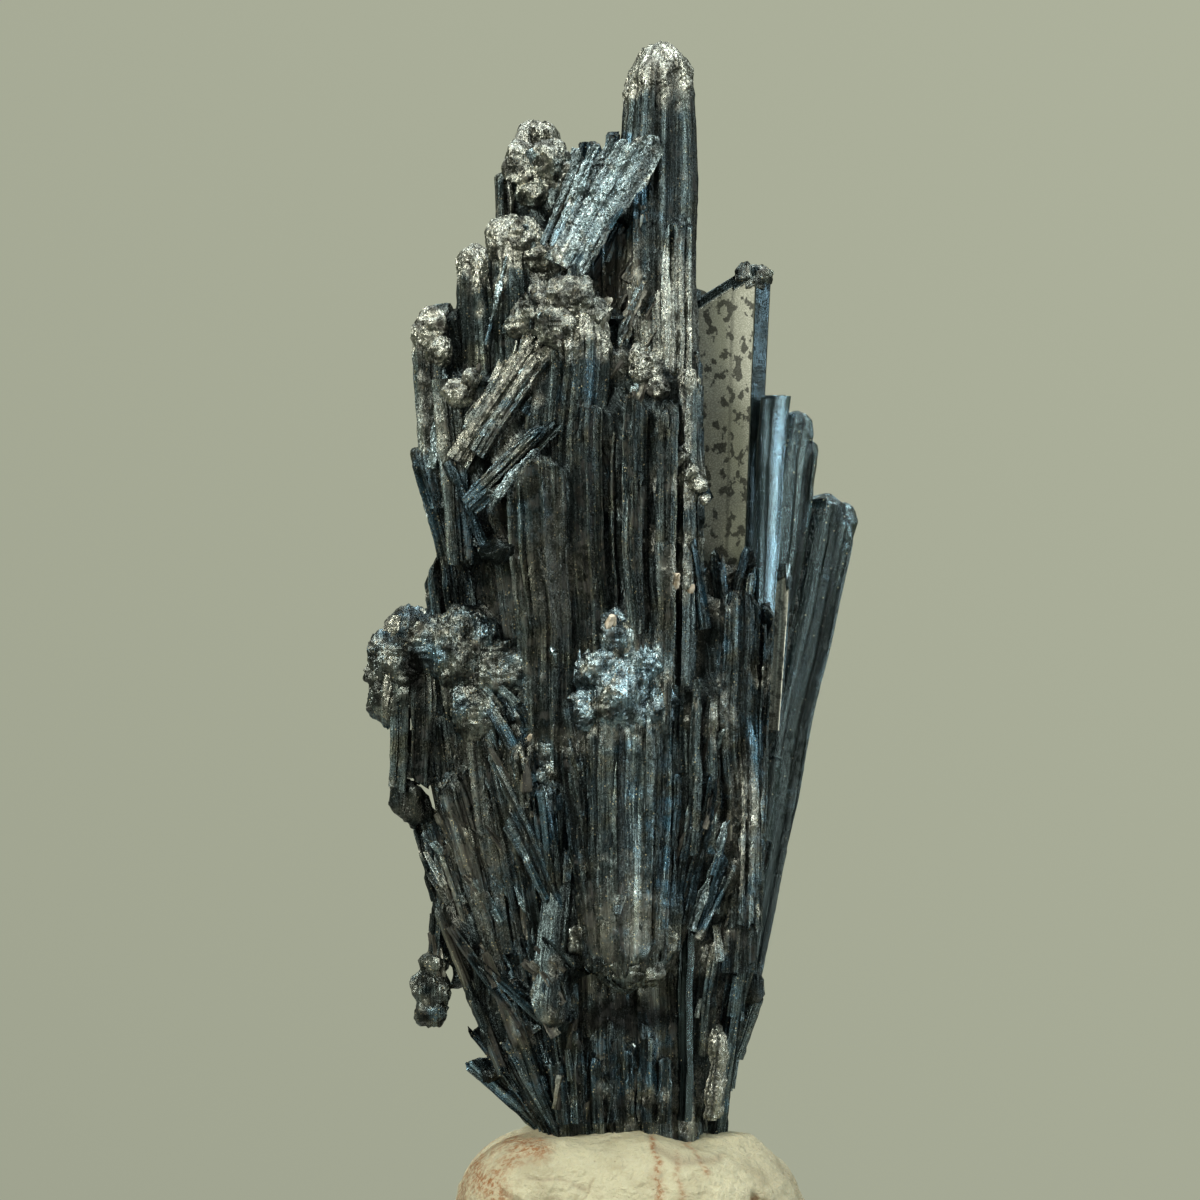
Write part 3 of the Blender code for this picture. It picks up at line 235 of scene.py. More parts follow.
# How a crystal's skin is made. bundle is the width of the thin prisms it is a bundle of, rib the depth of
# the furrows between them, level how far some stand in, facet how much their faces lean, splinter how
# unevenly they end, snap how deep the steps along them are and fine how deep the striations. crustTop is
# how far a crust reaches down from the tip, crust how much of the rest is crusted and lump how rough it is.
# blue, dust and polish tint the skin, and polish paints a reflection on a mirror face. pits are holes painted
# dark as shade on a flat face, needles is the share of needles that stay near it, outline its section if that is
# not a regular one, and step how coarse its points are.
plainLook = {"bundle": 0.95, "rib": 0.22, "level": 0.24, "splinter": 0.5, "snap": 0.35, "crustTop": 0.0,
             "crust": 0.12, "lump": 0.2, "blue": 0.25, "dust": 0.3, "polish": 0.0, "fine": 0.05,
             "needles": 0.3, "outline": None, "step": 1.0, "pits": 0.0, "facet": 0.45}
looks = {
    "core": {"step": 1.6, "needles": 0.7, "dust": 0.5},
    "back": {"step": 1.5, "crust": 0.2, "blue": 0.35},
    "crustedTop": {"crustTop": 5.0, "splinter": 0.12, "crust": 0.1, "lump": 0.24, "rib": 0.14, "level": 0.12,
                   "snap": 0.15, "needles": 0.1},
    "finger": {"bundle": 0.62, "rib": 0.08, "level": 0.1, "snap": 0.08, "splinter": 0.12, "crustTop": 5.0,
               "crust": 0.1, "lump": 0.24, "needles": 0.1, "facet": 0.25},
    "domeTop": {"crustTop": 3.6, "splinter": 0.3, "crust": 0.14, "lump": 0.32, "level": 0.3},
    "crusted": {"crust": 0.6, "crustTop": 5.0, "splinter": 0.3, "lump": 0.28, "needles": 0.4},
    "lath": {"bundle": 0.5, "rib": 0.1, "level": 0.08, "splinter": 0.4, "blue": 0.6, "crust": 0.03,
             "needles": 0.1, "step": 0.8, "dust": 0.1},
    "oliveLath": {"bundle": 0.5, "rib": 0.08, "level": 0.08, "blue": 0.0, "crust": 0.5, "needles": 0.0,
                  "step": 0.8, "dust": 1.0, "lump": 0.03, "facet": 0.2},
    "blueSlab": {"bundle": 1.1, "rib": 0.07, "level": 0.2, "blue": 0.7, "crust": 1.0, "dust": 0.05,
                 "needles": 0.0, "lump": 0.12, "splinter": 1.0, "snap": 0.3, "fine": 0.12, "facet": 0.12},
    "paleLath": {"bundle": 0.6, "rib": 0.08, "level": 0.1, "splinter": 0.4, "blue": 1.0, "crust": 0.75,
                 "needles": 0.0, "dust": 0.05, "lump": 0.05, "facet": 0.3},
    "dark": {"bundle": 0.72, "rib": 0.2, "facet": 0.36, "crust": 0.03, "blue": 0.2, "dust": 0.35, "needles": 0.15,
             "snap": 0.2},
    "mirror": {"bundle": 3.0, "rib": 0.0, "level": 0.0, "splinter": 0.3, "snap": 0.0, "crust": 0.0,
               "blue": 0.0, "dust": 0.0, "polish": 1.0, "fine": 0.003, "needles": 0.0, "pits": 1.0,
               "facet": 0.0,
               "outline": ((-0.62, 0.09), (0.27, -0.46), (0.49, -0.27), (0.48, 0.32), (-0.46, 0.4))},
    "round": {"bundle": 1.1, "rib": 0.05, "level": 0.03, "splinter": 0.2, "snap": 0.08, "crust": 0.0,
              "facet": 0.12, "blue": 1.0, "dust": 0.0, "polish": 0.55, "fine": 0.02, "needles": 0.0},
    "blade": {"bundle": 1.5, "rib": 0.08, "level": 0.1, "snap": 0.1, "crust": 0.0,
              "polish": 0.45, "needles": 0.0, "dust": 0.08, "fine": 0.03, "facet": 0.2, "splinter": 0.12},
    "fan": {"bundle": 0.6, "rib": 0.24, "level": 0.3, "splinter": 0.8, "snap": 0.5, "crust": 0.16,
            "needles": 1.0, "blue": 0.45},
    "shield": {"bundle": 0.7, "rib": 0.24, "level": 0.3, "crust": 0.02, "fine": 0.16, "splinter": 0.35,
               "lump": 0.3, "blue": 0.4, "dust": 0.25, "needles": 0.6},
    "glossy": {"bundle": 1.7, "rib": 0.05, "level": 0.12, "crust": 0.1, "blue": 0.1, "dust": 0.1,
               "splinter": 0.1, "lump": 0.35, "needles": 0.0},
}
# The crystals whose look isn't the usual one of their table.
crystalsByLook = {
    "finger": "tallFinger",
    "paleLath": "slabLathLeft slabLathMiddle needleLathNear needleLathFar brightLath brightLathBehind "
                "upperLeftNeedle leftShoulderLath ribbonPrism fibreHigh",
    "domeTop": "leftDome upperLeftBlock leftCrusted centralDome",
    "crustedTop": "leftSmall centralDomeShoulder columnFifth",
    "blueSlab": "leaningSlab leaningSlabBehind",
    "fan": "needleBlock recessWall crossingLathMid crossingLathHigh ribbon leftCrustMass "
           "leftFanOuter leftKnob leftFanLong leftFanMiddle leftFanInner leftFanFront leftEdgePlate "
           "leftNeck columnSixth columnSeventh rightBlock rightBundleHigh rightBundleEdge fibreLath "
           "spindleNeck",
    "crusted": "crossingLathLow outerLump outerLumpRoof brightColumn",
    "dark": "leftHangingPrism tombstone columnFirst columnSecond columnThird columnFourth "
            "mirrorBladeCap outerHangingPrism innerHangingPrism",
    "lath": "leftBlueLath fibreLathBlue lowFlake",
    "shield": "shield shieldRibLeft shieldRibMiddle shieldRibRight",
    "glossy": "glossyLump spindle",
    "mirror": "mirrorBlade mirrorStrip",
    "round": "roundPrism",
    "blade": "curvedBlade curvedBladeEdge farRightBlade farRightEdge farRightRoot smoothColumn",
}
lookOf = {name: look for look, names in crystalsByLook.items() for name in names.split()}

# Short broken prisms that lie on the front: the middle and half-size of their patch, how many, which way
# they point across and up, how far they stray, and their length and width in millimetres.
loosePrisms = {
    "leftFanBits": ((-15.0, 48.0), (4.6, 9.0), 26, (-0.5, 1.0), 0.55, (2.5, 6.0), (0.9, 1.7)),
    "leftFanLow": ((-11.5, 37.5), (4.5, 4.5), 22, (-0.7, 1.0), 0.8, (2.0, 4.6), (0.8, 1.6)),
    "hollowBits": ((-1.0, 29.0), (6.0, 5.0), 22, (0.1, 1.0), 0.35, (2.0, 4.4), (0.9, 1.5)),
    "recessBits": ((-0.2, 104.5), (2.6, 8.0), 40, (0.35, 1.0), 0.5, (3.0, 6.5), (0.9, 1.7)),
    "centralBits": ((-7.5, 102.5), (3.4, 3.0), 10, (0.5, 1.0), 0.7, (1.6, 3.6), (0.6, 1.1)),
    "lowMiddleBits": ((-9.5, 68.0), (3.0, 3.0), 8, (-0.6, 1.0), 0.6, (1.6, 3.6), (0.6, 1.2)),
    "crossingBits": ((-13.4, 95.0), (4.4, 5.4), 18, (0.75, 1.0), 0.5, (2.5, 5.5), (0.8, 1.5)),
    "leftHeadBits": ((-10.0, 114.5), (1.2, 3.4), 5, (-0.3, 1.0), 0.4, (2.5, 5.0), (0.6, 1.1)),
    "middleLeftBits": ((-11.5, 62.0), (3.6, 5.0), 16, (-0.35, 1.0), 0.5, (2.5, 5.0), (0.8, 1.5)),
    "rightFibres": ((7.0, 54.0), (2.6, 8.0), 14, (0.25, 1.0), 0.3, (3.0, 6.0), (0.6, 1.1)),
}

# Places on the photographed side with a tint of their own, and under shade places with painted shade: the
# middle and half-size across and up, in millimetres, and how strong it is.
tintPatches = {
    "blue": ((-2.4, 115.8, 5.0, 7.5, 1.0), (-15.7, 83.7, 2.4, 5.5, 0.9), (-20.2, 85.5, 1.8, 6.0, 0.7),
             (-9.6, 84.0, 3.0, 6.0, 0.6), (19.5, 83.4, 3.0, 3.4, 0.8), (-0.2, 67.0, 4.6, 5.0, 0.9),
             (7.4, 45.8, 1.8, 4.4, 1.0), (-1.2, 29.0, 7.0, 6.0, 0.6), (-8.6, 56.0, 1.8, 8.0, 0.9),
             (-14.0, 27.5, 4.5, 6.5, 0.6), (12.6, 61.0, 1.2, 8.0, 0.6), (-14.5, 67.0, 5.0, 5.0, 0.5),
             (-12.0, 45.0, 4.0, 7.0, 0.55), (4.2, 53.0, 1.6, 7.0, 0.6), (-15.4, 54.0, 3.0, 5.0, 0.5),
             (2.8, 44.5, 2.4, 4.0, 0.6), (-5.2, 96.0, 4.0, 5.0, 0.45), (3.0, 112.0, 4.0, 9.0, 0.4)),
    "crust": ((3.0, 129.5, 4.5, 2.8, 1.0), (4.6, 103.0, 2.6, 7.5, 0.5), (1.8, 97.2, 2.2, 2.6, 1.0),
              (-20.2, 102.2, 1.8, 3.0, 1.0), (-5.7, 105.2, 3.6, 1.6, 0.9), (-11.2, 111.8, 3.4, 2.2, 1.0),
              (-17.0, 95.8, 1.9, 1.8, 0.9), (5.6, 90.0, 0.7, 7.0, 0.9), (6.2, 87.2, 1.9, 2.6, 0.8),
              (-15.8, 68.0, 5.4, 5.4, 0.45), (8.0, 28.0, 1.1, 4.6, 0.9), (7.6, 39.8, 1.7, 2.6, 1.0),
              (11.0, 53.5, 1.6, 7.0, 0.7), (4.8, 77.2, 1.6, 2.6, 0.7), (-9.2, 115.5, 3.4, 6.5, 0.85),
              (-0.2, 66.6, 4.2, 5.0, 0.9), (-9.4, 119.6, 4.0, 3.4, 0.9), (-7.6, 38.6, 0.8, 1.2, 0.4),
              (-11.0, 96.5, 2.4, 2.4, 0.8), (-19.6, 92.0, 1.6, 6.0, 0.4), (-15.0, 51.0, 5.0, 13.0, 0.36),
              (-8.6, 80.0, 3.6, 9.0, 0.3), (-14.0, 88.0, 5.0, 10.0, 0.16), (-7.2, 61.0, 3.0, 1.6, 0.6),
              (-1.0, 41.5, 4.8, 6.0, 0.26), (-0.4, 104.0, 2.4, 7.0, 0.5), (-10.0, 99.6, 2.0, 1.6, 0.8),
              (9.4, 63.0, 1.6, 3.0, 0.4), (-8.4, 57.5, 1.0, 4.0, 0.9)),
    "dust": ((-1.6, 84.0, 6.0, 10.0, 0.5), (-1.0, 42.0, 5.6, 6.6, 0.5), (-1.5, 107.0, 2.6, 7.0, 0.6),
             (-12.0, 92.0, 3.0, 4.0, 0.5), (-17.0, 50.0, 3.0, 8.0, 0.6), (-1.5, 57.0, 4.0, 8.0, 0.25),
             (-17.6, 40.0, 1.6, 6.0, 0.9), (-12.6, 32.0, 3.0, 4.0, 0.7), (-9.0, 116.0, 3.0, 4.0, 0.6)),
    "shade": ((3.8, 96.8, 1.0, 1.3, 0.9), (-21.5, 68.2, 1.3, 2.8, 1.0), (-1.0, 33.8, 6.0, 2.0, 0.95),
              (-5.6, 60.0, 0.8, 6.0, 0.5), (-19.8, 59.5, 1.0, 4.2, 0.8), (0.2, 24.6, 5.5, 1.6, 0.7)),
}


def cadName(name):
    return "".join("_" + letter.lower() if letter.isupper() else letter for letter in name)


def smoothStep(low, high, value):
    share = np.clip((value - low) / (high - low), 0.0, 1.0)
    return share * share * (3 - 2 * share)


def latticeValue(x, y, z, seed):
    # the same random number, 0 to 1, for a lattice point every time
    mixed = (x * 374761393 + y * 668265263 + z * 1274126177 + seed * 144665) & 0xFFFFFFFF
    mixed = ((mixed ^ (mixed >> 13)) * 1274126177) & 0xFFFFFFFF
    return ((mixed ^ (mixed >> 16)) & 0xFFFF) / 65535.0


def solidNoise(points, size, seed):
    # smooth noise, -1 to 1, with lumps of that size in millimetres
    scaled = points / size
    corner = np.floor(scaled).astype(np.int64)
    share = scaled - corner
    share = share * share * (3 - 2 * share)
    total = np.zeros(len(points))
    for dx in (0, 1):
        for dy in (0, 1):
            for dz in (0, 1):
                weight = ((share[:, 0] if dx else 1 - share[:, 0]) * (share[:, 1] if dy else 1 - share[:, 1])
                          * (share[:, 2] if dz else 1 - share[:, 2]))
                total += weight * latticeValue(corner[:, 0] + dx, corner[:, 1] + dy, corner[:, 2] + dz, seed)
    return total * 2 - 1


def crystalMatrix(foot, tip, roll):
    along = (Vector(tip) - Vector(foot)).normalized()
    across = Vector((0, 1, 0)).cross(along).normalized()
    if along.z < 0:
        across.negate()
    axes = Matrix((across, along.cross(across), along)).transposed().to_4x4()
    return Matrix.Translation(foot) @ axes @ Matrix.Rotation(math.radians(roll), 4, "Z")


def sectionCorners(name, size, sides, outline):
    # the corners of the section, anticlockwise, with the same unevenness as the solid's
    if outline:
        return np.array(outline) * np.array(size)
    draw = random.Random(f"41{cadName(name)}")
    reach = [1 + draw.uniform(-0.1, 0.1) for _ in range(sides)]
    corners = []
    for side in range(sides):
        turn = math.pi / 2 - side * math.tau / sides
        x, y, _ = Vector((math.cos(turn), math.sin(turn), 0))
        share = reach[round(math.atan2(y, x) % math.tau / (math.tau / sides)) % sides]
        corners.append((x * share * size[0] / 2, y * share * size[1] / 2))
    return np.array(corners[::-1])


def endHeight(end, length, width, x, y):
    height = np.full(x.shape, length + width)
    for lean, turn, lift in endPlanes[end]:
        lean, turn = math.radians(lean), math.radians(turn)
        slope = (x * math.cos(turn) + y * math.sin(turn)) * math.tan(lean)
        height = np.minimum(height, length + lift * width - slope)
    return height


def nearestPrisms(x, y, middles):
    # which thin prism of the bundle holds each point, and how far it is from the next one
    gaps = np.hypot(x[..., None] - middles[:, 0], y[..., None] - middles[:, 1])
    nearest = gaps.argmin(-1)
    two = np.partition(gaps, 1, axis=-1)[..., :2]
    return nearest, two[..., 1] - two[..., 0]


def warp(points):
    # a slow bend that keeps the crystals from looking ruled
    return np.stack([0.4 * solidNoise(points, 9.0, 21 + axis) + 0.05 * solidNoise(points, 2.4, 24 + axis)
                     for axis in range(3)], 1)


def patchStrength(points, patch, weight=1.0, ragged=0.0):
    atX, atZ, halfX, halfZ, strength = patch
    away = np.hypot((points[:, 0] - atX) / halfX, (points[:, 2] - atZ) / halfZ)
    return strength * weight * smoothStep(1.25, 0.5, away + ragged)


def ballPoints(count, layers):
    # the directions out of a ball, ring by ring from the bottom
    turn = np.arange(count) / count * math.tau
    up = np.linspace(0.5 / layers, 1 - 0.5 / layers, layers)[:, None] * math.pi
    return np.stack((np.cos(turn) * np.sin(up), np.sin(turn) * np.sin(up), -np.cos(up) + 0 * turn),
                    -1).reshape(-1, 3)


def ringFaces(count, layers):
    # the faces between rings of points, then those that close both ends on the two points after the rings
    left = np.arange(count)
    right = (left + 1) % count
    rowStart = np.arange(layers - 1)[:, None] * count
    quads = np.stack((rowStart + left, rowStart + right, rowStart + count + right, rowStart + count + left),
                     -1).reshape(-1, 4)
    last, total = (layers - 1) * count, layers * count
    caps = np.concatenate((np.stack((last + left, last + right, np.full(count, total + 1)), 1),
                           np.stack((right, left, np.full(count, total)), 1)))
    return quads, caps


def ballBody(points, count, layers, values, **more):
    quads, caps = ringFaces(count, layers)
    flatMap = points[:, [0, 2]]
    return {"points": points, "quads": quads, "caps": caps, "quadMap": flatMap[quads.reshape(-1)],
            "capMap": flatMap[caps.reshape(-1)], "values": values, **more}


# What all crystals share: how far they sway, how wide a furrow is on the side and on the end, how far a thin
# prism may lean and fall short, and the least height as a share of the length.
growth = {"sway": 0.14, "furrow": 0.34, "endFurrow": 0.25, "lean": 0.35, "longestDrop": 2.6, "least": 0.25}
# The narrow faces and the rim beside a polished face; the narrow faces are painted darker as shade.
polishedEdge = {"polish": 0.5, "blue": 0.6, "shade": 0.45, "rim": 1.1, "rimPolish": 0.4}


def growCrystal(name, crystal, lookName, grain):
    # one crystal as rows of points from foot to tip, then rings across its end
    foot, tip, size, roll, taper, end, sides = crystal
    look = {**plainLook, **looks.get(lookName, {})}
    draw = np.random.default_rng(random.Random(name).randrange(2**31))
    seed = int(draw.integers(1, 9999))
    width, thickness = size
    length = (Vector(tip) - Vector(foot)).length
    step = grain * look["step"]

    corners = sectionCorners(name, size, sides, look["outline"])
    edges = np.roll(corners, -1, 0) - corners
    edgeLengths = np.hypot(edges[:, 0], edges[:, 1])
    girth = edgeLengths.sum()
    count = max(12, int(girth / step))
    around = np.arange(count) / count * girth
    starts = np.concatenate(([0], np.cumsum(edgeLengths)))[:-1]
    side = np.searchsorted(starts, around, side="right") - 1
    ring = corners[side] + edges[side] * ((around - starts[side]) / edgeLengths[side])[:, None]
    outward = np.stack((edges[side, 1], -edges[side, 0]), 1) / edgeLengths[side][:, None]
    for _ in range(0 if look["outline"] else 2):
        outward = (np.roll(outward, 1, 0) + 2 * outward + np.roll(outward, -1, 0)) / 4

    number = int(np.clip(width * thickness * 0.8 / look["bundle"] ** 2, 3, 64))
    middles = draw.uniform(-0.5, 0.5, (number, 2)) * (width, thickness)
    drops = np.minimum(draw.exponential(look["splinter"], number), growth["longestDrop"])
    levels = draw.uniform(0, look["level"], number)
    snapAt = draw.uniform(0.1, 1.0, (3, number)) * length
    snapBy = draw.uniform(-0.2, 1.0, (3, number)) * look["snap"] * 0.6
    slopes = draw.uniform(-1, 1, number) * look["facet"]
    tones = draw.uniform(0, 1, number)

    def tiltOf(atX, atY, nearest):
        # how far each thin prism's face leans in, across the crystal
        return slopes[nearest] * ((atY - middles[nearest, 1]) * outward[:, 0]
                                  - (atX - middles[nearest, 0]) * outward[:, 1])

    def wander(z):
        sway = growth["sway"] if look["bundle"] < 2 else 0.0
        return (sway * np.sin(z / (5.0 + seed % 5) + seed), sway * np.sin(z / (6.5 + seed % 3) + 2 * seed))

    swayX, swayY = wander(np.array(length))
    topPrism, _ = nearestPrisms(ring[:, 0] + swayX, ring[:, 1] + swayY, middles)
    topHeight = endHeight(end, length, width, ring[:, 0], ring[:, 1]) - drops[topPrism]
    topHeight = np.maximum(topHeight, growth["least"] * length)
    rows = max(8, int(length / (step * 2.2)))
    z = np.linspace(0, 1, rows)[:, None] * topHeight[None, :]
    scale = taper + (1 - taper) * z / (length + width)
    x, y = ring[:, 0] * scale, ring[:, 1] * scale
    swayX, swayY = wander(z)
    prism, gap = nearestPrisms(x + swayX, y + swayY, middles)
    furrow = 1 - smoothStep(0.0, growth["furrow"], gap)
    inward = look["rib"] * furrow + levels[prism] + np.clip(tiltOf(x + swayX, y + swayY, prism),
                                                            -growth["lean"], growth["lean"])
    for at, by in zip(snapAt, snapBy):
        inward += by[prism] * smoothStep(0.0, 0.5, z - at[prism])
    lines = np.stack((np.broadcast_to(around, z.shape), z / 30, np.zeros_like(z)), -1).reshape(-1, 3)
    inward += look["fine"] * solidNoise(lines, 0.42, seed).reshape(z.shape)

    # rings across the end, from the rim to the middle
    rings = max(3, int(min(width, thickness) / 2 / (step * 1.1)))
    rimX = x[-1] - outward[:, 0] * inward[-1]
    rimY = y[-1] - outward[:, 1] * inward[-1]
    share = np.linspace(1, 0, rings + 1)[1:-1, None]
    capX, capY = rimX * share, rimY * share
    swayX, swayY = wander(np.array(length))
    capPrism, capGap = nearestPrisms(capX + swayX, capY + swayY, middles)
    capZ = np.maximum(endHeight(end, length, width, capX, capY) - drops[capPrism], growth["least"] * length)
    local = np.concatenate((
        np.stack((x - outward[:, 0] * inward, y - outward[:, 1] * inward, z), -1),
        np.stack((capX, capY, capZ), -1)))
    layers = len(local)
    facing = np.zeros_like(local)
    facing[:rows, :, :2] = outward
    facing[rows - 1:, :, 2] = 1
    facing /= np.linalg.norm(facing, axis=-1, keepdims=True)

    frameOf = np.array(crystalMatrix(foot, tip, roll))
    turned, moved = frameOf[:3, :3], frameOf[:3, 3]
    flat = local.reshape(-1, 3)
    world = flat @ turned.T + moved
    worldFacing = facing.reshape(-1, 3) @ turned.T
    fromTop = (topHeight[None, :] - local[..., 2]).reshape(-1)
    fromTop[rows * count:] = 0
    patchy = solidNoise(world, 2.6, 7)
    crust = smoothStep(1 - 2 * look["crust"] - 0.25, 1 - 2 * look["crust"] + 0.25,
                       patchy + 0.5 * solidNoise(world, 0.9, 8))
    crust *= min(1, look["crust"] / 0.06)
    if look["crustTop"]:
        reach = look["crustTop"] * (0.6 + 0.5 * solidNoise(world, 1.6, 9))
        crust = np.maximum(crust, 1 - smoothStep(0.35 * reach, np.maximum(reach, 0.1), fromTop))
    tint = {"blue": np.full(len(world), look["blue"]), "dust": np.full(len(world), look["dust"]),
            "shade": np.zeros(len(world)), "crust": crust}
    front = smoothStep(3.0, -1.0, world[:, 1])
    ragged = 0.35 * solidNoise(world, 1.3, 10)
    for kind, places in tintPatches.items():
        for patch in places:
            tint[kind] = np.maximum(tint[kind], patchStrength(world, patch, front, ragged))
    tint["crust"] = np.clip(tint["crust"] * (1 - look["polish"]), 0, 1)
    lumps = (look["lump"] * solidNoise(world, 0.85, 11) - 0.3 * abs(solidNoise(world, 0.5, 12))
             + 0.32 * solidNoise(world, 1.9, 13))
    rough = 0.05 * solidNoise(world, 0.5, 14) * (1 - look["polish"])
    world += worldFacing * (tint["crust"] * lumps + rough)[:, None]
    # a polished face stays flat, with its pits painted on as dark spots of shade
    if not look["pits"]:
        world += warp(world)
    points = np.concatenate((world, [moved], [world[-count:].mean(0)]))
    quads, caps = ringFaces(count, layers)

    # the striation map: millimetres round the crystal, and millimetres along it
    alongMap = np.concatenate((z, topHeight + (1 - share) * min(width, thickness) / 2))
    uLeft, uRight = around, around + girth / count
    nextMap = np.roll(alongMap, -1, 1)

    def mapCorners(*corners):
        # one place on the map for each corner of each face
        return np.stack([np.stack(np.broadcast_arrays(*corner), -1) for corner in corners], -2).reshape(-1, 2)

    quadMap = mapCorners((uLeft, alongMap[:-1]), (uRight, nextMap[:-1]), (uRight, nextMap[1:]), (uLeft, alongMap[1:]))
    capMap = np.concatenate((
        mapCorners((uLeft, alongMap[-1]), (uRight, nextMap[-1]), (uLeft, alongMap[-1] + step)),
        mapCorners((uRight, 0.0), (uLeft, 0.0), (uLeft, -step))))
    # hollow marks the furrows between the thin prisms. The material paints them dark as shade, and dust gathers
    # there.
    endHollow = 1 - smoothStep(0.0, growth["endFurrow"], capGap)
    hollow = np.concatenate((furrow.reshape(-1), endHollow.reshape(-1)))
    polish = np.full(len(world), look["polish"])
    if look["outline"]:
        bevel = np.tile(side == 1, layers)
        polish[bevel] = polishedEdge["polish"]
        polish[fromTop < polishedEdge["rim"]] = polishedEdge["rimPolish"]
        tint["blue"][bevel] = polishedEdge["blue"]
        # painted shade on the narrow faces beside the polished one
        tint["shade"][bevel] = polishedEdge["shade"]
    tone = np.concatenate((tones[prism].reshape(-1), tones[capPrism].reshape(-1)))
    values = {**tint, "hollow": hollow, "polish": polish, "tone": tone}
    values = {key: np.concatenate((value, value[-2:])) for key, value in values.items()}
    return {"points": points, "quads": quads, "caps": caps, "quadMap": quadMap + (seed % 97, 0),
            "capMap": capMap + (seed % 97, 0), "values": values,
            "axis": np.array(turned[:, 2]),
            "needles": look["needles"] * smoothStep(1.5, 4.0, np.concatenate((fromTop, (9, 0))))}


# How a lump of crust is made: how many flat sides it has and how many more for each millimetre of radius,
# how far out they lie, the furthest a point may be, the depth and size of its roughness, and its proportions.
boulder = {"sides": 22, "moreSides": 8, "cut": (0.84, 1.08), "furthest": 1.16,
           "roughness": ((0.2, 0.9), (0.16, 0.45)), "stretch": 0.12, "depth": 0.8, "height": 1.05, "dust": 0.3}


def growBoulder(name, middle, radius, crust, blue, grain):
    # a lump of crust: a ball of points cut back to flat sides, then roughened
    count, layers = max(16, int(math.tau * radius / grain)), max(10, int(math.pi * radius / grain))
    ball = ballPoints(count, layers)
    seed = random.Random(name).randrange(9999)
    draw = np.random.default_rng(seed)
    sides = draw.normal(size=(boulder["sides"] + int(boulder["moreSides"] * radius), 3))
    sides /= np.linalg.norm(sides, axis=1)[:, None]
    cuts = draw.uniform(*boulder["cut"], len(sides))
    reach = np.minimum(boulder["furthest"], (cuts / np.maximum(ball @ sides.T, 0.05)).min(1))
    for index, (depth, size) in enumerate(boulder["roughness"]):
        reach -= depth / radius ** 0.5 * abs(solidNoise(ball * radius, size, seed + 2 + index))
    stretch = random.Random(name + "stretch").uniform(-boulder["stretch"], boulder["stretch"])
    shape = (1 + stretch, boulder["depth"], boulder["height"] - stretch)
    world = ball * reach[:, None] * radius * shape + middle
    points = np.concatenate((world, [world[:count].mean(0)], [world[-count:].mean(0)]))
    # hollow paints random hollows of the lump dark as shade, and the shade patches paint shade on it too.
    values = {"crust": np.clip(crust + 0.3 * solidNoise(points, 1.2, 8), 0, 1),
              "blue": np.clip(blue + 0.4 * solidNoise(points, 2.4, 18), 0, 1),
              "dust": np.full(len(points), boulder["dust"]), "shade": np.zeros(len(points)),
              "hollow": np.clip(-3 * solidNoise(points, 0.9, seed), 0, 1), "polish": np.zeros(len(points)),
              "tone": 0.5 + 0.5 * solidNoise(points, 1.1, seed + 1)}
    for patch in tintPatches["shade"]:
        values["shade"] = np.maximum(values["shade"], patchStrength(points, patch))
    return ballBody(points, count, layers, values, axis=np.array((0, 0, 1.0)), needles=np.zeros(len(points)))


def storeNumbers(mesh, key, numbers):
    # a number or a vector for each point
    kind, field = ("FLOAT", "value") if numbers.ndim == 1 else ("FLOAT_VECTOR", "vector")
    mesh.attributes.new(key, kind, "POINT").data.foreach_set(field, numbers.astype(np.float32).reshape(-1))


def storeMap(mesh, places):
    mesh.uv_layers.new(name="striations").data.foreach_set("uv", places.astype(np.float32).reshape(-1))


def meshFrom(name, bodies, sharpAngle=32):
    # one mesh from several grown bodies, with their maps and tints
    faces, maps = [], []
    for kind, mapKind in (("quads", "quadMap"), ("caps", "capMap")):
        start = 0
        for body in bodies:
            faces += (body[kind] + start).tolist()
            start += len(body["points"])
            maps.append(body[mapKind])
    mesh = bpy.data.meshes.new(name)
    mesh.from_pydata(np.concatenate([body["points"] for body in bodies]) * mm, [], faces)
    storeMap(mesh, np.concatenate(maps))
    for key in bodies[0]["values"]:
        storeNumbers(mesh, key, np.concatenate([body["values"][key] for body in bodies]))
    mesh.shade_smooth()
    if sharpAngle:
        mesh.set_sharp_from_angle(angle=math.radians(sharpAngle))
    return mesh


def addObject(name, data):
    made = bpy.data.objects.new(name, data)
    bpy.context.scene.collection.objects.link(made)
    return made


def finishedMesh(host):
    # a new mesh of an object as its modifiers leave it
    return bpy.data.meshes.new_from_object(host.evaluated_get(bpy.context.evaluated_depsgraph_get()))


def showPiece(name, mesh, surface, node=None):
    piece = addObject(name, mesh)
    if surface:
        mesh.materials.append(surface)
    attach(piece, "root")
    if node:
        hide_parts(node)
    print(f"{name}: {sum(len(face.vertices) - 2 for face in mesh.polygons)} triangles")


# Shader effects that more than one material uses.
def addNode(tree, kind, inputs=None, **settings):
    made = tree.nodes.new(kind)
    for key, value in settings.items():
        setattr(made, key, value)
    for key, value in (inputs or {}).items():
        if isinstance(value, bpy.types.NodeSocket):
            tree.links.new(value, made.inputs[key])
        else:
            made.inputs[key].default_value = value
    return made


def newGroup(name, inputs, outputs):
    group = bpy.data.node_groups.new(name, "ShaderNodeTree")
    for label, kind, value in inputs:
        socket = group.interface.new_socket(label, in_out="INPUT", socket_type=kind)
        if value is not None:
            socket.default_value = value
    for label, kind in outputs:
        group.interface.new_socket(label, in_out="OUTPUT", socket_type=kind)
    return group, group.nodes.new("NodeGroupInput"), group.nodes.new("NodeGroupOutput")


def useGroup(tree, group, inputs):
    return addNode(tree, "ShaderNodeGroup", inputs, node_tree=group)


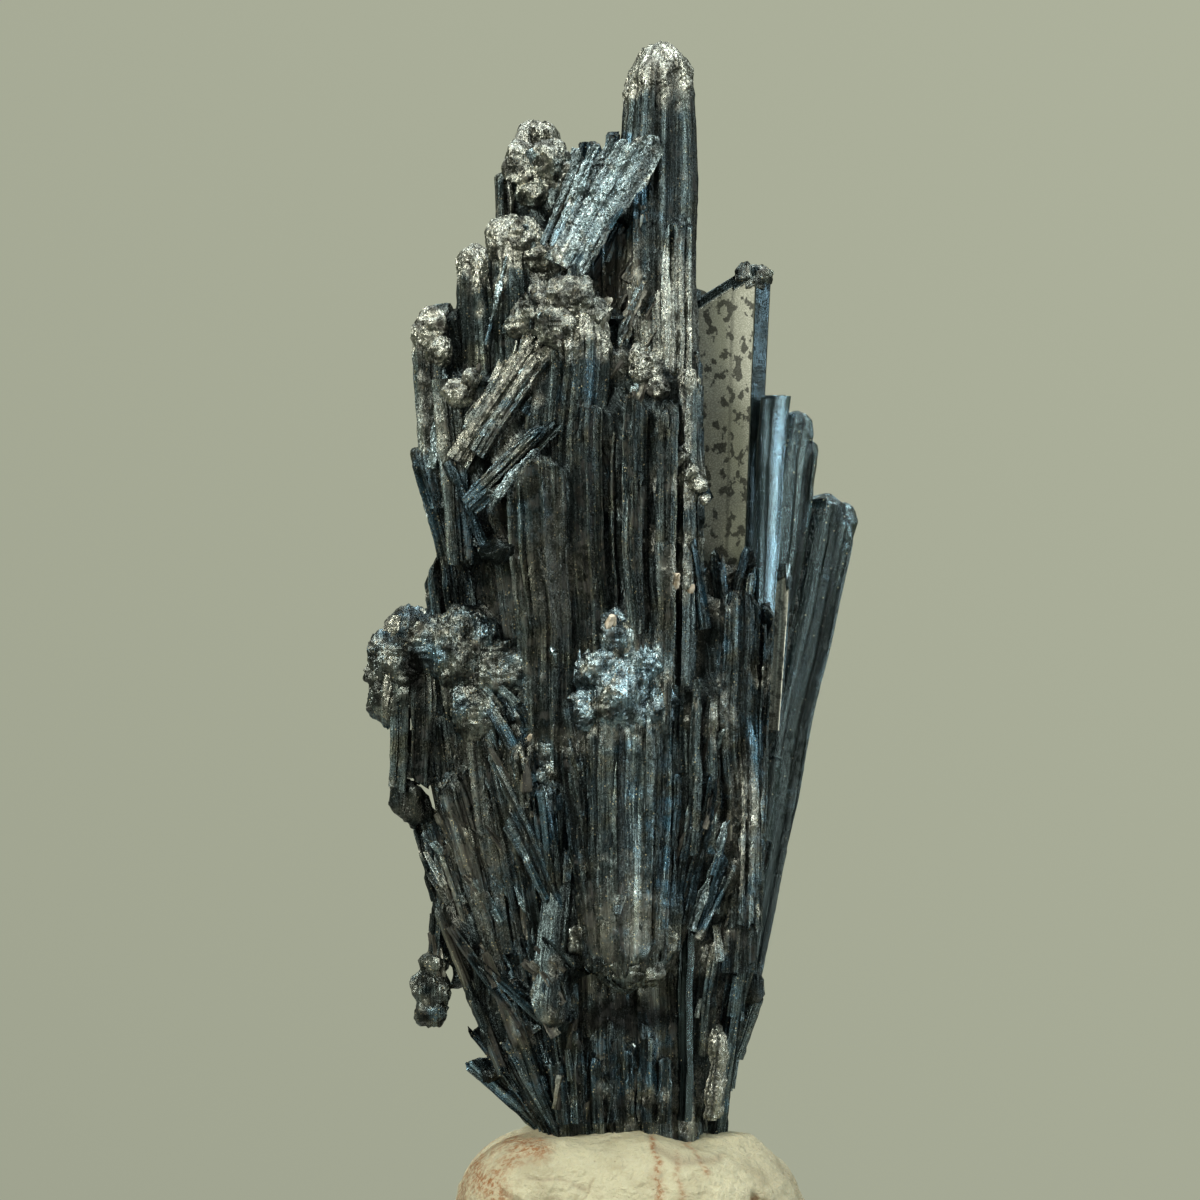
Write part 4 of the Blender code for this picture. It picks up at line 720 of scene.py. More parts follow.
def maths(tree, operation, *values, clamp=False):
    return addNode(tree, "ShaderNodeMath", dict(enumerate(values)), operation=operation,
                   use_clamp=clamp).outputs[0]


def mixColour(tree, share, first, second):
    return addNode(tree, "ShaderNodeMix", {0: share, 6: first, 7: second}, data_type="RGBA").outputs[2]


def vectorMaths(tree, operation, inputs):
    return addNode(tree, "ShaderNodeVectorMath", inputs, operation=operation).outputs


def remap(tree, value, low, high, toLow=0.0, toHigh=1.0):
    return addNode(tree, "ShaderNodeMapRange", {"Value": value, "From Min": low, "From Max": high,
                                                "To Min": toLow, "To Max": toHigh}).outputs[0]


def startMaterial(name):
    surface = bpy.data.materials.new(name)
    surface.use_nodes = True
    tree = surface.node_tree
    shader = tree.nodes["Principled BSDF"]
    return surface, tree, shader, addNode(tree, "ShaderNodeTexCoord").outputs["Object"]


def makeGrainLines():
    # lines that run along each crystal, from its striation map
    group, given, out = newGroup("grainLines", (
        ("Map", "NodeSocketVector", None), ("Across", "NodeSocketFloat", 2.0),
        ("Along", "NodeSocketFloat", 0.06)), (("Height", "NodeSocketFloat"),))
    stretch = addNode(group, "ShaderNodeCombineXYZ", {"X": given.outputs["Across"], "Y": given.outputs["Along"]})
    scaled = vectorMaths(group, "MULTIPLY", {0: given.outputs["Map"], 1: stretch.outputs[0]})[0]
    noise = addNode(group, "ShaderNodeTexNoise", {"Vector": scaled, "Scale": 1.0, "Detail": 4.0,
                                                  "Roughness": 0.7}, noise_dimensions="2D")
    group.links.new(noise.outputs[0], out.inputs["Height"])
    return group


def makeFacetTurn():
    # tiny crystal faces, each turned its own way
    group, given, out = newGroup("facetTurn", (
        ("Place", "NodeSocketVector", None), ("Per Metre", "NodeSocketFloat", 3000.0),
        ("Turn", "NodeSocketFloat", 0.5)), (("Normal", "NodeSocketVector"), ("Value", "NodeSocketFloat")))
    cells = addNode(group, "ShaderNodeTexVoronoi", {"Vector": given.outputs["Place"],
                                                    "Scale": given.outputs["Per Metre"], "Randomness": 1.0})
    centred = vectorMaths(group, "SUBTRACT", {0: cells.outputs["Color"], 1: (0.5, 0.5, 0.5)})[0]
    turned = vectorMaths(group, "SCALE", {0: centred, "Scale": given.outputs["Turn"]})[0]
    shape = addNode(group, "ShaderNodeNewGeometry")
    added = vectorMaths(group, "ADD", {0: turned, 1: shape.outputs["Normal"]})[0]
    group.links.new(vectorMaths(group, "NORMALIZE", {0: added})[0], out.inputs["Normal"])
    parts = addNode(group, "ShaderNodeSeparateColor", {0: cells.outputs["Color"]})
    group.links.new(parts.outputs[0], out.inputs["Value"])
    return group


def makeSpecks():
    # scattered specks: 1 on a speck, 0 between them
    group, given, out = newGroup("specks", (
        ("Place", "NodeSocketVector", None), ("Per Metre", "NodeSocketFloat", 2500.0),
        ("Size", "NodeSocketFloat", 0.2), ("Share", "NodeSocketFloat", 0.3)), (("Mask", "NodeSocketFloat"),))
    cells = addNode(group, "ShaderNodeTexVoronoi", {"Vector": given.outputs["Place"],
                                                    "Scale": given.outputs["Per Metre"], "Randomness": 1.0})
    near = maths(group, "LESS_THAN", cells.outputs["Distance"], given.outputs["Size"])
    parts = addNode(group, "ShaderNodeSeparateColor", {0: cells.outputs["Color"]})
    chosen = maths(group, "LESS_THAN", parts.outputs[1], given.outputs["Share"])
    group.links.new(maths(group, "MULTIPLY", near, chosen), out.inputs["Mask"])
    return group


def makePatches():
    # soft-edged patches of a film or stain
    group, given, out = newGroup("patches", (
        ("Place", "NodeSocketVector", None), ("Per Metre", "NodeSocketFloat", 300.0),
        ("Amount", "NodeSocketFloat", 0.5)), (("Mask", "NodeSocketFloat"),))
    noise = addNode(group, "ShaderNodeTexNoise", {"Vector": given.outputs["Place"],
                                                  "Scale": given.outputs["Per Metre"], "Detail": 5.0,
                                                  "Roughness": 0.65})
    level = maths(group, "SUBTRACT", 1.0, given.outputs["Amount"])
    raised = maths(group, "SUBTRACT", noise.outputs[0], maths(group, "MULTIPLY_ADD", level, 0.44, 0.26))
    group.links.new(maths(group, "MULTIPLY", raised, 8.0, clamp=True), out.inputs["Mask"])
    return group


grainLines, facetTurn, specks, patches = makeGrainLines(), makeFacetTurn(), makeSpecks(), makePatches()

# dark and light, blueDark and blueLight, bronzeDark and bronzeLight are shaded and lit copies: the lit one is painted
# highlight along the striation lines.
stibniteFinish = {"dark": (0.014, 0.021, 0.022, 1), "light": (0.165, 0.215, 0.21, 1),
                  "blueDark": (0.016, 0.043, 0.06, 1), "blueLight": (0.25, 0.40, 0.48, 1),
                  "bronzeDark": (0.022, 0.022, 0.013, 1), "bronzeLight": (0.25, 0.24, 0.145, 1),
                  "crust": (0.53, 0.53, 0.44, 1), "crustDim": (0.24, 0.255, 0.215, 1),
                  "crustBlue": (0.52, 0.63, 0.62, 1), "crustBlueDim": (0.18, 0.245, 0.25, 1),
                  "dust": (0.05, 0.043, 0.025, 1), "grain": (0.32, 0.28, 0.16, 1),
                  # On the next line, the second colour is a painted reflection of the grey-green backdrop, for the
                  # mirror face.
                  "gloss": (0.09, 0.125, 0.13, 1), "paintedReflection": (0.40, 0.41, 0.33, 1),
                  # furrow is the near-black of painted shade in furrows, hollows, shade patches and pits.
                  "furrow": (0.009, 0.010, 0.009, 1)}
# How fine its texture is: lines across and along the striation map, then facets, patches and grains per
# metre, the holes per metre each way, and the height of the striations in metres.
stibniteTexture = {"coarse": (1.6, 0.05), "fine": (6.5, 0.16), "facets": 4400.0, "smallFacets": 9000.0,
                   "film": 420.0, "tarnish": 270.0, "dust": 700.0, "grains": 4200.0,
                   "holes": (1150.0, 1150.0, 820.0), "bump": 0.0003}


def stibniteMaterial(name, finish, texture):
    surface, tree, shader, place = startMaterial(name)
    striations = addNode(tree, "ShaderNodeUVMap", uv_map="striations").outputs[0]
    tint = {key: addNode(tree, "ShaderNodeAttribute", attribute_name=key).outputs["Fac"]
            for key in ("blue", "dust", "crust", "shade", "hollow", "polish", "tone")}
    coarse, fine = (useGroup(tree, grainLines, {"Map": striations, "Across": across, "Along": along}).outputs[0]
                    for across, along in (texture["coarse"], texture["fine"]))
    turn = maths(tree, "MULTIPLY_ADD", maths(tree, "POWER", tint["crust"], 2.5), 0.62,
                 remap(tree, tint["polish"], 0.0, 0.4, 0.16, 0.0))
    facets = useGroup(tree, facetTurn, {"Place": place, "Per Metre": texture["facets"], "Turn": turn})
    small = useGroup(tree, facetTurn, {"Place": place, "Per Metre": texture["smallFacets"], "Turn": 0.5})
    lines = maths(tree, "MULTIPLY_ADD", fine, 0.6, maths(tree, "MULTIPLY", coarse, 0.6))
    # The striation lines: where they rise, the colour takes the lit copy as a painted highlight. The same lines also
    # bump the normal.
    striationHighlight = remap(tree, lines, 0.54, 0.8)
    steel = mixColour(tree, striationHighlight, finish["dark"], finish["light"])
    film = useGroup(tree, patches, {"Place": place, "Per Metre": texture["film"],
                                    "Amount": tint["blue"]}).outputs[0]
    blues = mixColour(tree, striationHighlight, finish["blueDark"], finish["blueLight"])
    tarnish = useGroup(tree, patches, {"Place": place, "Per Metre": texture["tarnish"],
                                       "Amount": maths(tree, "MULTIPLY_ADD", tint["dust"], 0.6, 0.25)}).outputs[0]
    bronzes = mixColour(tree, striationHighlight, finish["bronzeDark"], finish["bronzeLight"])
    colour = mixColour(tree, maths(tree, "MULTIPLY", tarnish, 0.55), steel, bronzes)
    colour = mixColour(tree, maths(tree, "MULTIPLY", film, remap(tree, tint["blue"], 0.0, 0.7)), colour, blues)
    glint = maths(tree, "POWER", facets.outputs["Value"], 1.5)
    crusts = mixColour(tree, glint, finish["crustDim"], finish["crust"])
    blueCrusts = mixColour(tree, glint, finish["crustBlueDim"], finish["crustBlue"])
    blued = maths(tree, "MULTIPLY", film, remap(tree, tint["blue"], 0.1, 0.8))
    crusts = mixColour(tree, blued, crusts, blueCrusts)
    colour = mixColour(tree, maths(tree, "MULTIPLY", tint["crust"], 0.9), colour, crusts)
    # Polished faces. On the mirror face the colour is a painted reflection of the backdrop.
    shine = mixColour(tree, remap(tree, tint["polish"], 0.5, 1.0), finish["gloss"], finish["paintedReflection"])
    shine = mixColour(tree, remap(tree, film, 0, 1, 0, 0.6), shine, finish["blueLight"])
    colour = mixColour(tree, remap(tree, tint["polish"], 0.1, 0.6), colour, shine)
    dusty = useGroup(tree, patches, {"Place": place, "Per Metre": texture["dust"],
                                     "Amount": tint["dust"]}).outputs[0]
    dusty = maths(tree, "MULTIPLY", dusty, maths(tree, "MULTIPLY_ADD", tint["hollow"], 0.5, 0.35), clamp=True)
    grains = useGroup(tree, specks, {"Place": place, "Per Metre": texture["grains"], "Size": 0.26,
                                     "Share": maths(tree, "MULTIPLY", tint["dust"], 0.34)}).outputs[0]
    colour = mixColour(tree, dusty, colour, finish["dust"])
    colour = mixColour(tree, grains, colour, finish["grain"])
    # Pits on the mirror face, painted as dark spots of shade.
    stretched = vectorMaths(tree, "MULTIPLY", {0: place, 1: texture["holes"]})[0]
    holes = addNode(tree, "ShaderNodeTexNoise", {"Vector": stretched, "Scale": 1.0, "Detail": 3.0,
                                                 "Roughness": 0.55}).outputs[0]
    holes = maths(tree, "MULTIPLY", remap(tree, holes, 0.55, 0.575), remap(tree, tint["polish"], 0.85, 0.95))
    # Painted shade: furrows and hollows, the shade patches and the pits turn near-black.
    dark = maths(tree, "MAXIMUM", maths(tree, "MULTIPLY", tint["hollow"], 0.75), tint["shade"])
    dark = maths(tree, "MAXIMUM", dark, maths(tree, "MULTIPLY", holes, 0.8))
    toned = remap(tree, tint["tone"], 0.0, 1.0, 0.35, 1.75)
    plain = maths(tree, "MAXIMUM", maths(tree, "MULTIPLY", tint["crust"], 0.65),
                  remap(tree, tint["polish"], 0.4, 0.8))
    toned = maths(tree, "MULTIPLY_ADD", maths(tree, "SUBTRACT", 1.0, toned), plain, toned)
    colour = vectorMaths(tree, "SCALE", {0: colour, "Scale": toned})[0]
    colour = mixColour(tree, dark, colour, finish["furrow"])
    tree.links.new(colour, shader.inputs["Base Color"])
    matt = maths(tree, "MAXIMUM", maths(tree, "MULTIPLY", dusty, 0.9), grains, clamp=True)
    # The mirror face is partly matt, so that its painted reflection shows as colour.
    matt = maths(tree, "MAXIMUM", matt, remap(tree, tint["polish"], 0.85, 0.95, 0.0, 0.6))
    tree.links.new(maths(tree, "SUBTRACT", 1.0, matt, clamp=True), shader.inputs["Metallic"])
    rough = maths(tree, "MULTIPLY_ADD", small.outputs["Value"], 0.24, 0.17)
    rough = maths(tree, "MULTIPLY_ADD", matt, 0.4, rough)
    rough = maths(tree, "SUBTRACT", rough, maths(tree, "MULTIPLY", tint["polish"], 0.3), clamp=True)
    tree.links.new(maths(tree, "MAXIMUM", rough, 0.07), shader.inputs["Roughness"])
    height = maths(tree, "MULTIPLY", lines, maths(tree, "MULTIPLY_ADD", tint["polish"], -0.97, 1.0))
    bump = addNode(tree, "ShaderNodeBump", {"Height": height, "Strength": 0.75, "Distance": texture["bump"],
                                            "Normal": facets.outputs["Normal"]})
    tree.links.new(bump.outputs[0], shader.inputs["Normal"])
    return surface


paleFinish = {"clear": (0.62, 0.56, 0.44, 1), "stained": (0.36, 0.28, 0.17, 1), "stainScale": 1500.0,
              "facetScale": 2500.0, "turn": 0.4, "roughness": 0.3}


def paleMaterial(name, finish):
    surface, tree, shader, place = startMaterial(name)
    stain = useGroup(tree, patches, {"Place": place, "Per Metre": finish["stainScale"],
                                     "Amount": 0.5}).outputs[0]
    tree.links.new(mixColour(tree, stain, finish["clear"], finish["stained"]), shader.inputs["Base Color"])
    small = useGroup(tree, facetTurn, {"Place": place, "Per Metre": finish["facetScale"],
                                       "Turn": finish["turn"]})
    tree.links.new(small.outputs["Normal"], shader.inputs["Normal"])
    shader.inputs["Roughness"].default_value = finish["roughness"]
    return surface


# The last colour on the second line is painted shade in the folds, the torn crumples and the right of the front, and
# the colour of small dark specks.
puttyFinish = {"pale": (0.43, 0.405, 0.262, 1), "deep": (0.29, 0.258, 0.152, 1),
               "streak": (0.24, 0.105, 0.03, 1), "crack": (0.17, 0.12, 0.065, 1), "roughness": 0.72,
               "softness": 0.12, "softReach": (0.002, 0.0012, 0.0006), "grain": 900.0, "grainHeight": 0.0011}


def puttyMaterial(name, finish):
    surface, tree, shader, place = startMaterial(name)
    streak = addNode(tree, "ShaderNodeAttribute", attribute_name="streak").outputs["Fac"]
    crack = addNode(tree, "ShaderNodeAttribute", attribute_name="crack").outputs["Fac"]
    mottle = useGroup(tree, patches, {"Place": place, "Per Metre": 160.0, "Amount": 0.5}).outputs[0]
    veins = useGroup(tree, patches, {"Place": place, "Per Metre": 2000.0, "Amount": 0.58}).outputs[0]
    specked = useGroup(tree, specks, {"Place": place, "Per Metre": 1500.0, "Size": 0.16, "Share": 0.1}).outputs[0]
    colour = mixColour(tree, maths(tree, "MULTIPLY", mottle, 0.6), finish["pale"], finish["deep"])
    colour = mixColour(tree, maths(tree, "MULTIPLY", streak, maths(tree, "MULTIPLY_ADD", veins, 0.8, 0.25)), colour,
                       finish["streak"])
    # Small dark specks, then painted shade in the folds, the torn crumples and the right of the front.
    colour = mixColour(tree, maths(tree, "MULTIPLY", specked, 0.5), colour, finish["crack"])
    colour = mixColour(tree, maths(tree, "MULTIPLY", crack, 0.5), colour, finish["crack"])
    tree.links.new(colour, shader.inputs["Base Color"])
    shader.inputs["Roughness"].default_value = finish["roughness"]
    shader.inputs["Subsurface Weight"].default_value = finish["softness"]
    shader.inputs["Subsurface Radius"].default_value = finish["softReach"]
    grain = addNode(tree, "ShaderNodeTexNoise", {"Vector": place, "Scale": finish["grain"], "Detail": 7.0,
                                                 "Roughness": 0.6})
    bump = addNode(tree, "ShaderNodeBump", {"Height": grain.outputs[0], "Strength": 1.0,
                                            "Distance": finish["grainHeight"]})
    tree.links.new(bump.outputs[0], shader.inputs["Normal"])
    return surface


# The putty lump. A lobe pushes the skin out (or in) round one direction: the direction, how wide it is and
# by how many millimetres. A fold is a crease along a line on the front, also painted darker as shade: both
# ends, width and depth. A streak is a line too, with a strength in place of the depth. The torn place is low on
# the left, and its crumples are painted darker as shade.
putty = {
    "halfWidth": 17.8, "halfDepth": 15.6, "halfHeight": 13.0, "centreZ": 9.4, "squareness": 3.0,
    "around": 460, "layers": 210, "shrink": 0.15,
    "torn": {"across": -8.4, "up": 16.6, "halfWidth": 3.6, "halfHeight": 1.3, "slope": 0.12},
    "lobes": (((-0.72, -0.2, 0.66), 0.3, 0.85), ((0.8, -0.1, 0.62), 0.24, -0.1),
              ((0.78, -0.1, 0.76), 0.14, 0.9), ((-0.5, -0.3, 0.85), 0.16, -0.8),
              ((0.1, -0.3, 0.95), 0.3, 0.3), ((0.62, -0.2, 0.78), 0.14, 0.5), ((-0.9, -0.4, 0.1), 0.3, 0.3),
              ((0.3, -0.9, 0.4), 0.35, 0.35), ((-0.35, -0.85, 0.45), 0.2, -0.4)),
    "folds": (((-13.0, 17.2), (-8.0, 15.4), 0.2, 0.35), ((-10.2, 18.6), (-5.0, 17.6), 0.16, 0.22),
              ((-9.0, 16.6), (-5.6, 15.2), 0.14, 0.25), ((-6.0, 16.2), (-3.6, 18.4), 0.14, 0.2),
              ((12.1, 15.9), (12.9, 15.4), 0.5, 1.0), ((3.0, 20.4), (9.0, 19.8), 0.4, 0.15),
              ((-8.0, 10.0), (4.0, 8.0), 0.4, 0.3), ((5.0, 13.0), (14.0, 11.0), 0.3, 0.25)),
    "streaks": (((-15.8, 20.0), (-13.6, 16.6), 1.7, 1.0), ((-14.4, 21.4), (-8.6, 20.9), 0.9, 1.0),
                ((-16.4, 18.0), (-16.4, 14.0), 0.9, 0.9), ((-14.0, 18.6), (-11.0, 20.2), 0.5, 0.8),
                ((2.6, 22.2), (2.6, 19.0), 0.35, 1.0), ((2.6, 19.0), (1.8, 14.0), 0.5, 0.9),
                ((5.6, 22.0), (7.6, 18.8), 0.25, 0.7), ((4.6, 20.4), (4.2, 15.4), 0.3, 0.6),
                ((-16.6, 14.0), (-15.6, 10.0), 1.2, 0.5), ((12.4, 15.9), (13.0, 15.2), 0.5, 0.9)),
}


def lineDistance(x, z, start, end):
    start, end = np.array(start), np.array(end)
    run = end - start
    share = np.clip(((x - start[0]) * run[0] + (z - start[1]) * run[1]) / (run @ run), 0, 1)
    return np.hypot(x - start[0] - share * run[0], z - start[1] - share * run[1])


def shapePutty(spec):
    count, layers = spec["around"], spec["layers"]
    ball = ballPoints(count, layers)
    x, y, z = ball.T
    power = spec["squareness"]
    squared = (abs(x / spec["halfWidth"]) ** power + abs(y / spec["halfDepth"]) ** power
               + abs(z / spec["halfHeight"]) ** power)
    bearing = np.arctan2(y, x)
    dents = 1 + 0.022 * np.sin(3 * bearing + 0.8) + 0.018 * np.sin(5 * bearing + 2.5 * z) - 0.07 * x * z
    reach = dents * squared ** (-1 / power) - spec["shrink"]
    for way, spread, push in spec["lobes"]:
        way = np.array(way) / np.linalg.norm(way)
        reach += push * np.exp(-((1 - ball @ way) / spread ** 2) * 1.6)
    world = ball * reach[:, None]
    reach += (0.28 * solidNoise(world, 6.0, 31) + 0.13 * solidNoise(world, 2.2, 32)
              + 0.05 * solidNoise(world, 0.8, 33))
    world = ball * reach[:, None] + (0, 0, spec["centreZ"])
    streak = np.zeros(len(world))
    wobble = np.stack((solidNoise(world, 2.4, 34), solidNoise(world, 2.4, 35)), 1) * 0.8
    crackX, crackZ = world[:, 0] + wobble[:, 0], world[:, 2] + wobble[:, 1]
    front = smoothStep(5.0, -1.0, world[:, 1])
    place = spec["torn"]
    torn = front * np.exp(-((world[:, 0] - place["across"]) / place["halfWidth"]) ** 2
                          - ((world[:, 2] - place["up"] - place["slope"] * world[:, 0]) / place["halfHeight"]) ** 2)
    crumple = abs(solidNoise(world, 1.1, 37))
    reach -= torn * (crumple + 0.45 * abs(solidNoise(world, 0.55, 38)) - 0.25)
    # faint rows that fingers left all over
    reach += 0.12 * solidNoise(world * (0.35, 0.35, 1.0), 0.6, 39) + 0.06 * solidNoise(world, 0.45, 40)
    # Painted shade: darker on the right of the front and in the crumples of the torn place, then along the folds.
    crack = np.maximum(0.5 * front * smoothStep(7.0, 15.0, world[:, 0]), torn * smoothStep(0.2, 0.55, crumple))
    for start, end, width, depth in spec["folds"]:
        near = np.exp(-(lineDistance(crackX, crackZ, start, end) / width) ** 2) * front
        crack = np.maximum(crack, near)
        reach -= depth * near
    for start, end, width, strength in spec["streaks"]:
        near = strength * np.exp(-(lineDistance(crackX, crackZ, start, end) / width) ** 2) * front
        streak = np.maximum(streak, near)
    streak = np.maximum(streak, 0.6 * smoothStep(0.42, 0.75, solidNoise(world, 5.0, 36)) * (1 - front))
    below = np.where(ball[:, 2] < 0, spec["centreZ"] / np.maximum(-ball[:, 2], 1e-6), 1e9)
    world = ball * np.minimum(reach, below)[:, None] + (0, 0, spec["centreZ"])
    points = np.concatenate((world, [(0, 0, 0)], [world[-count:].mean(0)]))
    return ballBody(points, count, layers, {"crack": np.concatenate((crack, (0, 0))),
                                            "streak": np.concatenate((streak, (0, 0)))})


# Geometry Nodes: needles and shards that stand along the nearest crystal.
def newTree(name, inputs):
    tree = bpy.data.node_groups.new(name, "GeometryNodeTree")
    tree.interface.new_socket("Geometry", in_out="INPUT", socket_type="NodeSocketGeometry")
    for label, kind, value in inputs:
        socket = tree.interface.new_socket(label, in_out="INPUT", socket_type=kind)
        if value is not None:
            socket.default_value = value
    tree.interface.new_socket("Geometry", in_out="OUTPUT", socket_type="NodeSocketGeometry")
    return tree, tree.nodes.new("NodeGroupInput"), tree.nodes.new("NodeGroupOutput")


def sampleGuide(tree, guide, name, kind="FLOAT"):
    named = readValue(tree, name, kind)
    return addNode(tree, "GeometryNodeSampleNearestSurface", {"Mesh": guide, "Value": named},
                   data_type=kind).outputs["Value"]


def randomNumber(tree, low, high, seed):
    return addNode(tree, "FunctionNodeRandomValue", {"Seed": seed, 2: low, 3: high},
                   data_type="FLOAT").outputs[1]


def storeValue(tree, geometry, name, value, domain="POINT", kind="FLOAT"):
    return addNode(tree, "GeometryNodeStoreNamedAttribute",
                   {"Geometry": geometry, "Name": name, "Value": value}, data_type=kind, domain=domain).outputs[0]


def readValue(tree, name, kind="FLOAT"):
    return addNode(tree, "GeometryNodeInputNamedAttribute", {"Name": name}, data_type=kind).outputs["Attribute"]


def makeScatterTree():
    # prisms scattered on a skin, kept and turned as the nearest crystal says
    tree, given, out = newTree("prismScatter", (
        ("Guide", "NodeSocketObject", None), ("Per Square Metre", "NodeSocketFloat", 2e5),
        ("Length", "NodeSocketFloat", 0.003), ("Width", "NodeSocketFloat", 0.0005),
        ("Tilt", "NodeSocketFloat", 0.15), ("Seed", "NodeSocketInt", 5), ("Surface", "NodeSocketMaterial", None)))
    guide = addNode(tree, "GeometryNodeObjectInfo", {"Object": given.outputs["Guide"]}).outputs["Geometry"]
    spread = addNode(tree, "GeometryNodeDistributePointsOnFaces", {
        "Mesh": given.outputs["Geometry"], "Density": given.outputs["Per Square Metre"],
        "Seed": given.outputs["Seed"]})
    points = storeValue(tree, spread.outputs[0], "chance", sampleGuide(tree, guide, "needles"))
    points = storeValue(tree, points, "grow", sampleGuide(tree, guide, "axis", "FLOAT_VECTOR"),
                        kind="FLOAT_VECTOR")
    for key in ("blue", "crust", "dust"):
        points = storeValue(tree, points, key, sampleGuide(tree, guide, key))
    chance = readValue(tree, "chance")
    unlucky = addNode(tree, "FunctionNodeCompare", {0: randomNumber(tree, 0.0, 1.0, 3), 1: chance},
                      data_type="FLOAT", operation="GREATER_THAN").outputs[0]
    points = addNode(tree, "GeometryNodeDeleteGeometry", {"Geometry": points, "Selection": unlucky},
                     domain="POINT").outputs[0]
    grow = readValue(tree, "grow", "FLOAT_VECTOR")
    stray = addNode(tree, "FunctionNodeRandomValue", {0: (-1, -1, -1), 1: (1, 1, 1), "Seed": 8},
                    data_type="FLOAT_VECTOR").outputs[0]
    stray = vectorMaths(tree, "SCALE", {0: stray, "Scale": given.outputs["Tilt"]})[0]
    way = vectorMaths(tree, "ADD", {0: grow, 1: stray})[0]
    spin = addNode(tree, "ShaderNodeCombineXYZ", {"Z": randomNumber(tree, 0.0, math.tau, 11)}).outputs[0]
    upright = addNode(tree, "FunctionNodeAlignRotationToVector", {"Vector": way}, axis="Z").outputs[0]
    turned = addNode(tree, "FunctionNodeRotateRotation", {"Rotation": upright, "Rotate By": spin},
                     rotation_space="LOCAL").outputs[0]
    long = maths(tree, "MULTIPLY", given.outputs["Length"], randomNumber(tree, 0.35, 1.6, 13))
    wide = maths(tree, "MULTIPLY", given.outputs["Width"], randomNumber(tree, 0.4, 1.5, 17))
    thin = maths(tree, "MULTIPLY", wide, randomNumber(tree, 0.4, 1.0, 19))
    size = addNode(tree, "ShaderNodeCombineXYZ", {"X": wide, "Y": thin, "Z": long}).outputs[0]
    points = storeValue(tree, points, "tone", randomNumber(tree, 0.0, 1.0, 23))
    prism = addNode(tree, "GeometryNodeMeshCone", {"Vertices": 5, "Radius Top": 0.3, "Radius Bottom": 0.5,
                                                   "Depth": 1.0})
    stretch = vectorMaths(tree, "MULTIPLY", {0: prism.outputs["UV Map"], 1: (4.0, 4.0, 1.0)})[0]
    body = storeValue(tree, prism.outputs["Mesh"], "striations", stretch, "CORNER", "FLOAT2")
    planted = addNode(tree, "GeometryNodeInstanceOnPoints", {"Points": points, "Instance": body,
                                                             "Rotation": turned, "Scale": size}).outputs[0]
    solid = addNode(tree, "GeometryNodeRealizeInstances", {"Geometry": planted}).outputs[0]
    dressed = addNode(tree, "GeometryNodeSetMaterial", {"Geometry": solid, "Material": given.outputs["Surface"]})
    tree.links.new(dressed.outputs[0], out.inputs[0])
    return tree


def runTree(tree, mesh, values, name):
    host = addObject(name, mesh)
    modifier = host.modifiers.new(tree.name, "NODES")
    modifier.node_group = tree
    for item in tree.interface.items_tree:
        if item.in_out == "INPUT" and item.name in values:
            modifier[item.identifier] = values[item.name]
    made = finishedMesh(host)
    bpy.data.objects.remove(host)
    made.name = name
    return made


# The mass between the crystals: a rough copy of them, closed over narrow gaps and sunk below their faces.
# The rough copy's own skin is what the needles stand on. The furrows fan out from a point below the putty,
# and blade is the room left for the polished blade: its place across, its foot and how far the rest moves.
# The filler is painted darker all over by shade, and darker still in its furrows: painted shade.
fillerSpec = {"voxel": 0.46, "close": 1.3, "sink": 1.05, "furrow": 0.46, "lump": 0.3, "root": (-1.0, 1.0, -60.0),
              "dust": 0.15, "blue": 0.3, "shade": 0.66, "sharpAngle": 30,
              "blade": {"left": (7.0, 7.8), "right": (15.5, 14.5), "foot": (79, 81), "front": 3.5, "move": 4.0}}


